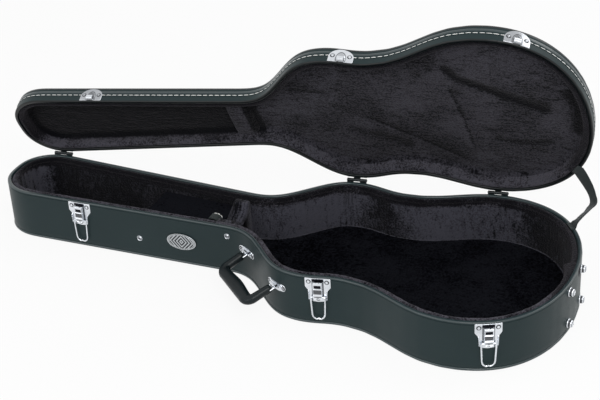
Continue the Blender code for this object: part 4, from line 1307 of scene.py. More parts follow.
@dataclass
class SubAssembly:
    """What every part of the case is built from."""

    outline: CaseOutline
    sizes: CaseSizes
    finishes: Finishes
    lid_place: LidPlace
    nodes: Mapping[str, bpy.types.Object]
    pieces: list[bpy.types.Object] = field(default_factory=list, init=False)

    def keep(self, piece: bpy.types.Object, body: Union[Body, str], slot: Slot, *replaced: str) -> None:
        """Sets a new piece on its body.

        Args:
            piece: The new piece.
            body: What it moves with.
            slot: The record's slot for its finish; not used.
            replaced: The CAD nodes that it stands for.
        """
        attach(piece, body.value if isinstance(body, Body) else body)
        self.enter(piece, slot, *replaced)

    def enter(self, piece: bpy.types.Object, slot: Slot, *replaced: str) -> None:
        """Enters a new piece that has its body, and hides the CAD nodes that it stands for."""
        if replaced:
            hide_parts(*replaced)
        self.pieces.append(piece)
        LOG.info("%s: %d faces", piece.name, len(piece.data.polygons))

    def keep_plush(
        self, piece: bpy.types.Object, body: Body, fill: float, *replaced: str, brush: Optional[np.ndarray] = None
    ) -> None:
        """Sets a padded piece on its body.

        Args:
            piece: The new piece.
            body: What it moves with.
            fill: How much of its room its padding fills; not used.
            replaced: The CAD nodes that it stands for.
            brush: How light or dark its pile is brushed at each point, with painted light and shade.
        """
        if brush is not None:
            give(piece, "brush", brush)
        self.keep(piece, body, Slot.PLUSH, *replaced)

    def keep_pressed(
        self, name: str, skin: Skin, dark: np.ndarray, body: Union[Body, str], *replaced: str, turn: Matrix = Matrix()
    ) -> None:
        """Makes a chrome pressing and sets it on its body.

        Args:
            name: The piece's name.
            skin: Its skin.
            dark: How much painted shade each point gets.
            body: What it moves with.
            replaced: The CAD nodes that it stands for.
            turn: Where the finished shape goes.
        """
        piece = skin.made(name, [self.finishes.chrome], turn, sharp=50)
        give(piece, "recess", dark)
        self.keep(piece, body, Slot.CHROME, *replaced)

    def half_width(self, line: RingLine, station: float) -> float:
        """Half the room between the side linings at a station."""
        return line.half_at(self.outline.x_of(station)) - self.sizes.lining - self.sizes.seam

    def dress(self, material: bpy.types.Material, *names: str) -> None:
        """Gives CAD nodes their finish."""
        for name in names:
            for slot in self.nodes[name].material_slots:
                slot.material = material
            LOG.info("%s: dressed with %s", name, material.name)


@dataclass
class BaseShell(SubAssembly):
    """The base's vinyl-covered wall, the wrap over its rim and the welt round its foot."""

    welt_rise: float = 0.006
    welt_lift: float = 0.0008
    welt_proud: float = 0.0010
    trim_depth: float = 0.005
    rim_round: float = 0.0022

    def build(self) -> None:
        """Builds the wall, the rim's edge and the welt, and dresses the bottom."""
        line = self.outline.line(0.005)
        self.wall(line)
        self.rim_edge(line)
        self.welt(line)
        self.dress(self.finishes.vinyl, "base_bottom_panel")

    def ring(
        self, name: str, line: RingLine, profile: Outline, finishes: Sequence[bpy.types.Material],
        finish: Optional[Sequence[int]] = None,
    ) -> bpy.types.Object:
        """A closed band round the base.

        Args:
            name: The piece's name.
            line: The case's line.
            profile: Its corners as (how far inside the line, height).
            finishes: Its finishes.
            finish: The number of a finish for each strip of the profile.

        Returns:
            The new object.
        """
        skin = Skin()
        grid, rise = swept_grid(line, profile)
        skin.band(grid, line.travel, rise, line.around, closed=True, finish=finish)
        return skin.made(name, finishes)

    def wall(self, line: RingLine) -> None:
        """The tall band of vinyl, tucked in a little under the rim's edge and over the welt."""
        low, high = self.welt_rise + self.sizes.seam, self.sizes.base_depth - self.trim_depth
        tuck = 0.0005
        outer = stepped([(0, low + 0.0012), (0, high - 0.0003)], 0.009)
        profile = [(tuck, low)] + outer + [(tuck, high), (self.sizes.wall, high), (self.sizes.wall, low)]
        skin = self.ring("base_wall_skin", line, profile, [self.finishes.vinyl])
        self.keep(skin, Body.BASE, Slot.VINYL, "base_side_wall")

    def rim_edge(self, line: RingLine) -> None:
        """The vinyl turned over the rim.

        Args:
            line: The case's line.
        """
        high, wall, turn = self.sizes.base_depth, self.sizes.wall, self.rim_round
        low = high - self.trim_depth + self.sizes.seam
        profile = [(wall, low), (wall, high - turn)]
        profile += arc((wall - turn, high - turn), turn, 0, 90, 5)[1:]
        profile += arc((turn, high - turn), turn, 90, 180, 7)
        rounding = len(profile) - 1
        profile += [(-0.0002, low + 0.0004), (0.0003, low)]
        # the rim's rounding takes the lighter vinyl as a painted highlight
        finish = [1 if k < rounding else 0 for k in range(len(profile))]
        edge = self.ring("base_rim_edge", line, profile, [self.finishes.vinyl, self.finishes.turned_edge], finish)
        self.keep(edge, Body.BASE, Slot.TRIM, "base_rim_trim")

    def welt(self, line: RingLine) -> None:
        """The beaded welt where the wall meets the bottom."""
        middle = (self.welt_rise + self.welt_lift) / 2
        radius = (self.welt_rise - self.welt_lift) / 2
        bead = arc((radius - self.welt_proud, middle), radius, 270, 90, 12)
        profile = [(self.sizes.wall, self.welt_lift)] + bead + [(self.sizes.wall, self.welt_rise)]
        # the welt's bead takes the lighter vinyl as a painted highlight
        welt = self.ring("base_welt_bead", line, profile, [self.finishes.turned_edge])
        self.keep(welt, Body.BASE, Slot.TRIM, "base_bottom_welt")


@dataclass(frozen=True)
class Gathers:
    """A bunch of upright folds in a side lining."""

    station: float
    side: Side
    folds: int
    pitch: float = 0.009
    depth: float = 0.0022

    def relief(self, places: np.ndarray, outline: CaseOutline) -> np.ndarray:
        """How far the lining moves in at each place on it, before its fading up the wall.

        Args:
            places: The lining's points, as (rows, points in a section, 3).
            outline: Turns stations to places.

        Returns:
            One distance for each point, in metres.
        """
        ahead = places[:, :, 0] - outline.x_of(self.station) + 0.007 * cloth_noise(places * (1, 1, 0.4), 0.03, 25)
        near = (np.sign(places[:, :, 1]) == self.side.value) & (np.abs(ahead) < self.folds * self.pitch)
        wave = np.cos(ahead / self.pitch * 2 * math.pi + 1.9 * np.sin(ahead / self.pitch * 1.3))
        fade = np.cos(np.clip(np.abs(ahead) / (self.folds * self.pitch), 0, 1) * math.pi / 2) ** 2
        uneven = np.clip(0.7 + 1.3 * cloth_noise(places * (1, 1, 0.5), 0.022, 26), 0, 1.4)
        return np.where(near, wave * fade * uneven * self.depth, 0.0)


@dataclass(frozen=True)
class DarkPatch:
    """A place on the far wall where the pile is brushed dark."""

    station: float
    width: float
    dark: float


@dataclass(frozen=True)
class StripTones:
    """What is added to the side strip's tone, by where the pile lies: painted light on the far wall; painted shade
    under the roll, on the far roll, in the neck and in the lap in the roll; darker at the butt and lighter at the head
    end.
    """

    # far_wall is painted light; under_roll, far_roll, neck, neck_roll and lap are painted shade
    far_wall: float = 0.18
    under_roll: float = -0.55
    far_roll: float = -0.42
    neck: float = -0.58
    neck_roll: float = -0.35
    lap: float = -0.5
    butt: float = -0.26
    head_end: float = 0.66


@dataclass
class BaseLining(SubAssembly):
    """The padded plush inside the base: the side strip with its rolled edge, and the floor."""

    roll_radius: float = 0.0052
    swell: float = 0.0012
    lumps: float = 0.0011
    small_lumps: float = 0.0005
    lap_at: float = 0.026
    lap_depth: float = 0.0100
    lap_length: float = 0.030
    tones: StripTones = StripTones()
    dark_patches: tuple[DarkPatch, ...] = (
        DarkPatch(0.694, 0.042, 0.40),
        DarkPatch(0.972, 0.045, 0.42),
        DarkPatch(1.03, 0.06, 0.30),
        DarkPatch(0.850, 0.05, -0.05),
    )
    gathers: tuple[Gathers, ...] = (
        Gathers(0.632, Side.HINGES, 4, depth=0.0034),
        Gathers(0.912, Side.HINGES, 4, depth=0.0030),
        Gathers(0.476, Side.HINGES, 3),
        Gathers(0.715, Side.LATCHES, 4, depth=0.0015),
        Gathers(0.500, Side.LATCHES, 3, depth=0.0015),
    )

    def build(self) -> None:
        """Builds the side strip and the floor."""
        self.side_strip()
        self.floor()

    def side_strip(self) -> None:
        """The padded strip: pushed out between its foot and its rolled top, with gathers, hand marks, and painted
        light and shade.
        """
        sizes = self.sizes
        line = self.outline.line(0.0026)
        outer, inner = sizes.wall + sizes.seam, sizes.lining
        low, top = sizes.panel + sizes.seam, sizes.base_depth - sizes.seam
        turn = self.roll_radius
        centre = (outer + turn, top - turn)
        profile = [(outer, low), (outer, centre[1])]
        roll = arc(centre, turn, 180, -35, 14)
        neck = (inner - 0.0006, roll[-1][1] - 0.0035)
        profile = profile + roll[1:] + stepped([roll[-1], neck, (inner, low)], 0.0032)[1:]
        grid, rise = swept_grid(line, profile)
        normal = facing(grid)
        heights = grid[:, :, 2]
        face = np.arange(len(profile)) > len(roll) + 1
        share = np.clip((heights - low) / (top - low), 0, 1)
        move = self.swell * np.sin(math.pi * share) * face
        gather = sum((g.relief(grid, self.outline) for g in self.gathers), np.zeros(heights.shape))
        ends = np.abs(share - 0.45) * 1.2 + 0.45
        move = move + gather * face * ends
        lumpy = cloth_noise(grid, 0.055) * self.lumps + cloth_noise(grid, 0.014, 3) * self.small_lumps
        move = move + lumpy * face
        rolled = (np.arange(len(profile)) >= 1) & ~face
        wobble = cloth_noise(grid, 0.020, 7) * 0.0005 + cloth_noise(grid, 0.005, 9) * 0.00035
        past = line.points[:, 1] - self.lap_at
        lap = (line.points[:, 0] > 0.4) * np.exp(-((past / self.lap_length) ** 2)) * smooth_step(past, 0.004, -0.004)
        pushed = np.where(rolled, 1.0, face * smooth_step(share, 0.5, 0.85))
        move = move + (wobble - 0.0004) * rolled + (lap * self.lap_depth)[:, None] * pushed
        inward = -line.outward
        swelling = move * rolled
        for k in (0, 1):
            swell = normal[:, :, k] * swelling * self.outwards(normal, grid, line)
            grid[:, :, k] += inward[:, k : k + 1] * move * face + swell
        grid[:, :, 2] += np.minimum(normal[:, :, 2] * swelling * self.outwards(normal, grid, line), 0)
        skin = Skin()
        # the roll takes the lighter plush as painted light
        finish = [1 if 0 < k <= len(roll) + 2 else 0 for k in range(len(profile))]
        skin.band(grid, line.travel, rise, line.around, closed=True, finish=finish)
        piece = skin.made("side_plush", [self.finishes.wall_plush, self.finishes.roll_plush], sharp=80)
        # painted light on the gathers' ridges and painted shade in their creases
        folds = np.where(face, (55 * np.maximum(gather, 0) + 120 * np.minimum(gather, 0)) * ends, 0.0)
        lapped = smooth_step(lap[:, None], 0.05, 0.3) * (past > -0.006)[:, None] * rolled
        brush = self.brushed(grid, face, rolled, share, lapped, folds)
        self.keep_plush(piece, Body.BASE, 0.7, "base_side_lining", brush=brush)

    def brushed(
        self, grid: np.ndarray, face: np.ndarray, rolled: np.ndarray, share: np.ndarray, lapped: np.ndarray,
        folds: np.ndarray,
    ) -> np.ndarray:
        """How light or dark the strip's pile is brushed, with painted light and shade added.

        Args:
            grid: The strip's points.
            face: Which points of its section lie on the wall.
            rolled: Which of them lie on the roll.
            share: How far up the wall each point lies, from 0 to 1.
            lapped: How much of the lap in the roll shows.
            folds: The shading of the gathers.

        Returns:
            The tone to add at each point.
        """
        tones, x, y = self.tones, grid[:, :, 0], grid[:, :, 1]
        station = self.outline.x_of
        butt = smooth_step(x, station(0.97), station(1.05))
        far_side = np.maximum(smooth_step(y, -0.02, 0.03), butt * smooth_step(y, -0.09, -0.04))
        neck = smooth_step(x, station(0.47), station(0.43))
        ragged = x + cloth_noise(grid, 0.012, 39) * 0.008
        head_end = smooth_step(ragged, station(0.058), station(0.022))
        streaks = 0.5 * cloth_noise(grid * np.array((1, 1, 0.15)), 0.006, 38)
        crushed = cloth_noise(grid, 0.016, 35) * 0.55 + cloth_noise(grid, 0.007, 36) * 0.4
        tone = folds + 0.12 * cloth_noise(grid, 0.03, 21)
        # painted light on the far wall; painted shade under the roll, on the far roll, in the neck and in the lap
        wall = tones.far_wall + tones.under_roll * smooth_step(share, 0.80, 0.88)
        tone += far_side * np.where(face, wall, tones.far_roll) + tones.neck * neck * face
        tone += tones.neck_roll * neck * rolled * far_side + tones.lap * lapped
        tone += face * butt * far_side * (crushed + tones.butt)
        tone += self.far_patches(grid) * face * far_side
        return tone + head_end * face * (tones.head_end + streaks)

    def far_patches(self, grid: np.ndarray) -> np.ndarray:
        """Where the far wall's pile is brushed dark, between and beyond the gathers.

        Args:
            grid: The strip's points.

        Returns:
            The tone to add at each point.
        """
        place = grid[:, :, 0] + self.outline.middle
        rough = cloth_noise(grid, 0.018, 33) * 0.5 + cloth_noise(grid, 0.006, 34) * 0.4
        found = np.zeros(grid.shape[:2])
        for patch_here in self.dark_patches:
            near = np.exp(-(((place - patch_here.station) / patch_here.width) ** 2))
            found -= patch_here.dark * near * (1 + rough)
        return found

    def outwards(self, normal: np.ndarray, grid: np.ndarray, line: RingLine) -> np.ndarray:
        """1 or -1, so that the normals times it point away from the roll's middle."""
        turn = self.roll_radius
        centre = line.points[:, None] - line.outward[:, None] * (self.sizes.wall + self.sizes.seam + turn)
        away = np.concatenate([grid[:, :, :2] - centre, grid[:, :, 2:] - (self.sizes.base_depth - turn)], 2)
        return np.sign((away * normal).sum(2, keepdims=False))

    def floor(self) -> None:
        """The floor's pad, with a raised nap along its edge."""
        sizes = self.sizes
        line = self.outline.line(0.006)
        edge, low, top = sizes.lining + sizes.seam, sizes.panel + sizes.seam, sizes.floor_top
        profile = [(edge, low), (edge, top - 0.0012), (edge + 0.0009, top + 0.0003), (edge + 0.0024, top + 0.0012)]
        profile += [(edge + 0.0042, top + 0.0010), (edge + 0.0060, top - 0.0003), (edge + 0.011, top)]
        grid, rise = swept_grid(line, profile)
        grid[:, 2:6, 2] += cloth_noise(grid[:, 2:6], 0.008, 4) * 0.0005
        skin = Skin()
        numbers = skin.band(grid, line.travel, rise, line.around, finish=[0, 0, 1, 1, 0, 0])

        def lumpy(plan: np.ndarray) -> np.ndarray:
            flat = at_height(plan, top)
            flat[:, 2] += cloth_noise(flat, 0.09, 2) * 0.0006 + cloth_noise(flat, 0.02, 8) * 0.0003
            return flat

        skin.cap(numbers[:, -1], grid[:, -1, :2], 0.008, lumpy)
        skin.cap(numbers[:, 0], grid[:, 0, :2], 0.03, flat_at(low))
        piece = skin.made("floor_plush", [self.finishes.floor_plush, self.finishes.wall_plush], sharp=80)
        places = points_of(piece)
        napped = smooth_step(places[:, 2], top + 0.0004, top + 0.0009) * (0.2 + 0.5 * cloth_noise(places, 0.02, 32))
        brush = cloth_noise(places, 0.1, 31) * 0.15 + napped * (cloth_noise(places, 0.05, 37) > -0.15)
        self.keep_plush(piece, Body.BASE, 0.9, "base_floor_lining", brush=brush)


@dataclass
class NeckEnd(SubAssembly):
    """What stands across the neck: the rest, the compartment's head wall, its flap and the pull tab."""

    wall_station: float = 0.296
    board: float = 0.008
    flap_top: float = 0.073
    flap_thickness: float = 0.005
    flap_play: float = 0.0012
    rest_station: float = 0.4445
    rest_length: float = 0.0305
    rest_top: float = 0.0905
    dip: float = 0.024
    dip_width: float = 0.056
    tab_edge: float = 0.0011
    tab_thickness: float = 0.0014
    tab_flop: tuple[tuple[float, float, float], ...] = ((-0.002, 0, 0.0110), (-0.010, 0, 0.0105), (-0.0185, 0, 0.0088))

    def build(self) -> None:
        """Builds the four pieces."""
        line = self.outline.line(0.004)
        self.rest(line)
        self.head_wall(line)
        self.flap(line)
        self.tab()

    def block(
        self, name: str, line: RingLine, start: float, length: float, shape: Callable[[float], list],
        play: float = 0.0,
    ) -> bpy.types.Object:
        """A solid across the neck between two stations.

        Args:
            name: The piece's name.
            line: The case's line.
            start: Its first station.
            length: Its length along the case.
            shape: Gives its section's corners for a half width.
            play: How far it stays clear of the linings.

        Returns:
            The new object.
        """
        skin = Skin()
        sections = []
        for share in np.linspace(0, 1, 7):
            station = start + length * share
            corners = shape(self.half_width(line, station) - play)
            sections.append([(self.outline.x_of(station), y, z) for y, z in corners])
        grid = np.array(sections)
        skin.rod(grid, np.linspace(0, length, 7), np.linspace(0, 0.2, grid.shape[1]))
        return skin.made(name, [self.finishes.wall_plush], sharp=80)

    def rest(self, line: RingLine) -> None:
        """The padded neck rest with its cradle.

        Args:
            line: The case's line.
        """
        low = self.sizes.floor_top + self.sizes.seam

        def cradle(half: float) -> list[tuple[float, float]]:
            top, radius = self.rest_top, self.dip_width / 2
            dip = [(x, top + (z - top) * self.dip / radius) for x, z in arc((0, top), radius, 0, -180, 16)]
            return [(-half, low), (half, low), (half, top)] + dip + [(-half, top)]

        piece = self.block("neck_rest_plush", line, self.rest_station, self.rest_length, cradle)
        softened(piece, 0.0055, 4, 1, 0.0012, 12)
        places = points_of(piece)
        # painted light and shade: stripes for folds the rest has no shape for, and its half towards the butt lighter
        # than the other
        folds = np.sin(places[:, 0] / 0.0062 * 2 * math.pi + 2.5 * cloth_noise(places * (1, 1, 0.3), 0.02, 18))
        middle = self.outline.x_of(self.rest_station + self.rest_length / 2)
        lit = smooth_step(places[:, 0], middle - 0.006, middle + 0.008) * 0.34 - 0.16
        brush = folds * 0.26 + cloth_noise(places, 0.012, 17) * 0.3 + lit
        self.keep_plush(piece, Body.BASE, 0.8, "neck_rest", brush=brush)

    def head_wall(self, line: RingLine) -> None:
        """The compartment's wall at the head end."""
        seam = self.sizes.seam
        shape = self.plank(self.sizes.floor_top + seam, self.flap_top - self.flap_thickness - seam)
        piece = self.block("compartment_wall_plush", line, self.wall_station, self.board, shape)
        softened(piece, 0.0022, 3, 1, 0.0005, 14)
        self.keep_plush(piece, Body.BASE, 0.9, "compartment_head_wall")

    @staticmethod
    def plank(low: float, high: float) -> Callable[[float], list]:
        """A function that gives a plain section between two heights for a half width."""
        return lambda half: [(-half, low), (half, low), (half, high), (-half, high)]

    def flap(self, line: RingLine) -> None:
        """The compartment's flap: a board wrapped in plush.

        Args:
            line: The case's line.
        """
        start = self.wall_station
        length = self.rest_station - self.sizes.seam * 2 - start
        shape = self.plank(self.flap_top - self.flap_thickness, self.flap_top)
        piece = self.block("compartment_flap_plush", line, start, length, shape, self.flap_play)
        piece.data.materials[0] = self.finishes.floor_plush
        softened(piece, 0.0018, 3, 2, 0.0006, 15)
        brush = cloth_noise(points_of(piece), 0.03, 6) * 0.3 + 0.35
        self.keep_plush(piece, Body.FLAP, 0.9, "compartment_lid", brush=brush)

    def tab(self) -> None:
        """The pull tab: webbing sewn on at the flap's edge that flops to the head, pale stitches along one edge."""
        low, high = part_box("compartment_pull_tab")
        foot, side = Vector(((low.x + high.x) / 2, 0, low.z + 0.0002)), (low.y + high.y) / 2
        handles = [foot + Vector(by) for by in self.tab_flop]
        line = np.array([(p.x, p.z) for p in interpolate_bezier(foot, *handles, 16)])
        half, thick, edge = (high.y - low.y) / 2, self.tab_thickness / 2, self.tab_edge
        run = np.gradient(line, axis=0)
        run /= np.linalg.norm(run, axis=1)[:, None]
        face = np.stack([-run[:, 1], run[:, 0]], 1)
        ways = ((-1, -0.8), (-0.5, -1), (0.5, -1), (1, -0.8), (1, 0.8), (0.5, 1), (-0.5, 1), (-1, 0.8))
        section = [(half * a, thick * b) for a, b in ways]
        rows = [[(p[0] + f[0] * b, side + a, p[1] + f[1] * b) for a, b in section] for p, f in zip(line, face)]
        travel = travelled(line)
        skin = Skin()
        skin.rod(np.array(rows), travel, np.array([a + half for a, _ in section]))
        webbing = skin.made("pull_tab_webbing", [self.finishes.webbing])
        self.keep(webbing, Body.FLAP, Slot.WEBBING, "compartment_pull_tab")
        ring = np.linspace(0, 2 * math.pi, 8, endpoint=False)
        round_edge = [(math.cos(t), math.sin(t)) for t in ring]
        rows = [
            [(p[0] + f[0] * b * edge, side + half + a * edge, p[1] + f[1] * b * edge) for a, b in round_edge]
            for p, f in zip(line, face)
        ]
        stitches = Skin()
        for first in range(2, len(rows) - 2, 4):
            stitches.rod(np.array(rows[first : first + 4]), travel[first : first + 4], ring * 0.001)
        self.keep(stitches.made("pull_tab_stitching", [self.finishes.thread]), Body.FLAP, Slot.WEBBING)


@dataclass
class LidShell(SubAssembly):
    """The lid's band along the rim, the vinyl that covers its top and is sewn down over the band, and the stitches."""

    band_depth: float = 0.0122
    stitch_depth: float = 0.0146
    rim_round: float = 0.0022
    edge_round: float = 0.008
    proud: float = 0.0006
    sag: float = 0.0004
    pitch: float = 0.0112
    dash: float = 0.0098
    thread: float = 0.00074
    lozenge: tuple[tuple[float, float], ...] = ((-0.5, 0.25), (-0.36, 0.85), (0.0, 1.0), (0.36, 0.85), (0.5, 0.25))

    def build(self) -> None:
        """Builds the band, the top and the stitches."""
        line = self.outline.line(0.005)
        self.band(line)
        self.top(line)
        self.stitches()

    def band(self, line: RingLine) -> None:
        """The plain band along the rim.

        Args:
            line: The case's line.
        """
        rim, wall, turn = self.sizes.lid_rim, self.sizes.wall, self.rim_round
        high = rim + self.band_depth
        profile = [(wall, high), (wall, rim + turn)]
        profile += arc((wall - turn, rim + turn), turn, 0, -90, 5)[1:]
        profile += arc((turn, rim + turn), turn, -90, -180, 7)
        turned = len(profile) - 1
        profile += stepped([(0, rim + turn), (0, high)], 0.004)[1:]
        grid, rise = swept_grid(line, profile)
        skin = Skin()
        # the band's inner face and the rim's rounding take the darker vinyl as painted shade
        finish = [1 if k < turned - 1 else 0 for k in range(len(profile))]
        skin.band(grid, line.travel, rise, line.around, closed=True, finish=finish)
        piece = skin.made("lid_vinyl_band", [self.finishes.vinyl, self.finishes.edging], self.lid_place.turned)
        self.keep(piece, Body.LID, Slot.VINYL, "lid_rim_trim", "lid_side_wall")

    def top(self, line: RingLine) -> None:
        """The top's vinyl, from its sewn edge over the rounded corner.

        Args:
            line: The case's line.
        """
        sizes = self.sizes
        low = sizes.lid_rim + self.band_depth + sizes.seam
        stitch = sizes.lid_rim + self.stitch_depth
        top, turn = sizes.closed_top, self.edge_round
        inner = sizes.wall + sizes.seam
        profile = [(inner, top - sizes.panel), (inner, low), (0.0004, low), (-self.proud * 0.7, low + 0.0004)]
        profile += [(-self.proud, low + 0.0011), (-0.0001, stitch - 0.0004), (0.0000, stitch + 0.0003)]
        profile += [(-self.proud * 0.9, stitch + 0.0019), (-self.proud, stitch + 0.0030)]
        ridge = len(profile)
        profile += [(-self.proud * 0.4, stitch + 0.0046), (-self.proud * 0.8, stitch + 0.0062)]
        profile += [(-self.proud * 0.7, stitch + 0.0086), (0.0004, stitch + 0.0098), (0.0, stitch + 0.0112)]
        sewn = len(profile)
        profile += arc((turn, top - turn), turn, 180, 90, 10)
        grid, rise = swept_grid(line, profile)
        skin = Skin()
        # the rounded top edge takes the darker vinyl as painted shade, and the ridge above the stitches the lighter
        # vinyl as a painted highlight
        finish = [1 if k >= sewn else 2 if ridge <= k < ridge + 2 else 0 for k in range(len(profile) - 1)]
        numbers = skin.band(grid, line.travel, rise, line.around, finish=finish)

        def surface(plan: np.ndarray) -> np.ndarray:
            flat = at_height(plan, top)
            flat[:, 2] += cloth_noise(flat, 0.16, 40) * self.sag
            return flat

        skin.cap(numbers[:, -1], grid[:, -1, :2], 0.014, surface)
        skin.cap(numbers[:, 0], grid[:, 0, :2], 0.03, flat_at(top - sizes.panel))
        finishes = [self.finishes.vinyl, self.finishes.edging, self.finishes.turned_edge]
        piece = skin.made("lid_vinyl_top", finishes, self.lid_place.turned)
        self.keep(piece, Body.LID, Slot.VINYL, "lid_edge_welt", "lid_top_panel")

    def stitches(self) -> None:
        """The row of stitches, one lozenge of thread for each."""
        line = self.outline.line(0.0011)
        count = int(line.around / self.pitch)
        skin = Skin()
        ring = np.array([(math.cos(t), math.sin(t)) for t in np.linspace(0, 2 * math.pi, 6, endpoint=False)])
        height = self.sizes.lid_rim + self.stitch_depth
        for i in range(count):
            sections = []
            for share, fat in self.lozenge:
                at = (i + 0.5) * line.around / count + share * self.dash
                number = int(round(at / line.around * len(line.points))) % len(line.points)
                out = np.array((*line.outward[number], 0.0))
                sink = 0.0004 * (1 - fat)
                middle = np.array((*line.points[number], height)) + out * (0.0001 - sink)
                up = np.array((0, 0, 1.0))
                sections.append(middle + self.thread * fat * (ring[:, :1] * out + ring[:, 1:] * up))
            skin.rod(np.array(sections), np.linspace(0, self.dash, 5), np.linspace(0, 0.003, 6))
        piece = skin.made("lid_stitching", [self.finishes.thread], self.lid_place.turned, sharp=80)
        self.keep(piece, Body.LID, Slot.TRIM)


@dataclass(frozen=True)
class PileMark:
    """A long mark in the lid's pile, where it was folded or pressed: a line in plan of (station, y) places.

    Its tone darkens the mark as painted shade. A fold has painted shade on one side of its line, to the left as it
    goes, and painted light on the other.
    """

    places: tuple[tuple[float, float], ...]
    width: float
    tone: float
    rise: float
    fold: bool = False

    def strength(self, plan: np.ndarray, outline: CaseOutline) -> tuple[np.ndarray, np.ndarray]:
        """How much of the mark shows at each place in plan.

        Args:
            plan: The places.
            outline: Turns stations to places.

        Returns:
            The shading and the relief, each from -1 to 1.
        """
        line = np.array([(outline.x_of(a), b) for a, b in self.places])
        lengths = np.linalg.norm(np.diff(line, axis=0), axis=1)
        best = np.full(len(plan), 9.0)
        side, along = np.zeros(len(plan)), np.zeros(len(plan))
        for k, (first, last) in enumerate(zip(line, line[1:])):
            run = last - first
            share = np.clip(((plan - first) @ run) / (run @ run), 0, 1)
            off = plan - (first + share[:, None] * run)
            gap = np.linalg.norm(off, axis=1)
            nearer = gap < best
            best = np.where(nearer, gap, best)
            side = np.where(nearer, np.sign(run[0] * off[:, 1] - run[1] * off[:, 0]), side)
            along = np.where(nearer, (lengths[:k].sum() + share * lengths[k]) / lengths.sum(), along)
        fade = patch((along, 0.0, 0.08), (along, 1.0, 0.9))
        ridge = np.exp(-((best / self.width) ** 2)) * fade
        if not self.fold:
            return ridge, ridge
        wide = 0.45 * np.exp(-best / (self.width * 6)) * fade + 0.55 * ridge
        return np.where(side > 0, wide, -0.3 * ridge), np.where(side > 0, -0.4, 1.0) * ridge


@dataclass(frozen=True)
class LidTones:
    """What is taken from or added to the lid's tone, by where the pile lies: darker behind the pad, painted shadow
    beyond it and on its end, painted shade from the puckering, on the side walls and along the ceiling's edge, and
    painted light on the hinge side's wall.
    """

    behind_pad: float = 0.6
    stripe: float = 0.6
    puckers: float = 0.36
    # side and edge are painted shade, hinge_side is painted light
    side: float = 0.56
    hinge_side: float = 0.62
    edge: float = 0.16
    pad_end: float = 0.7


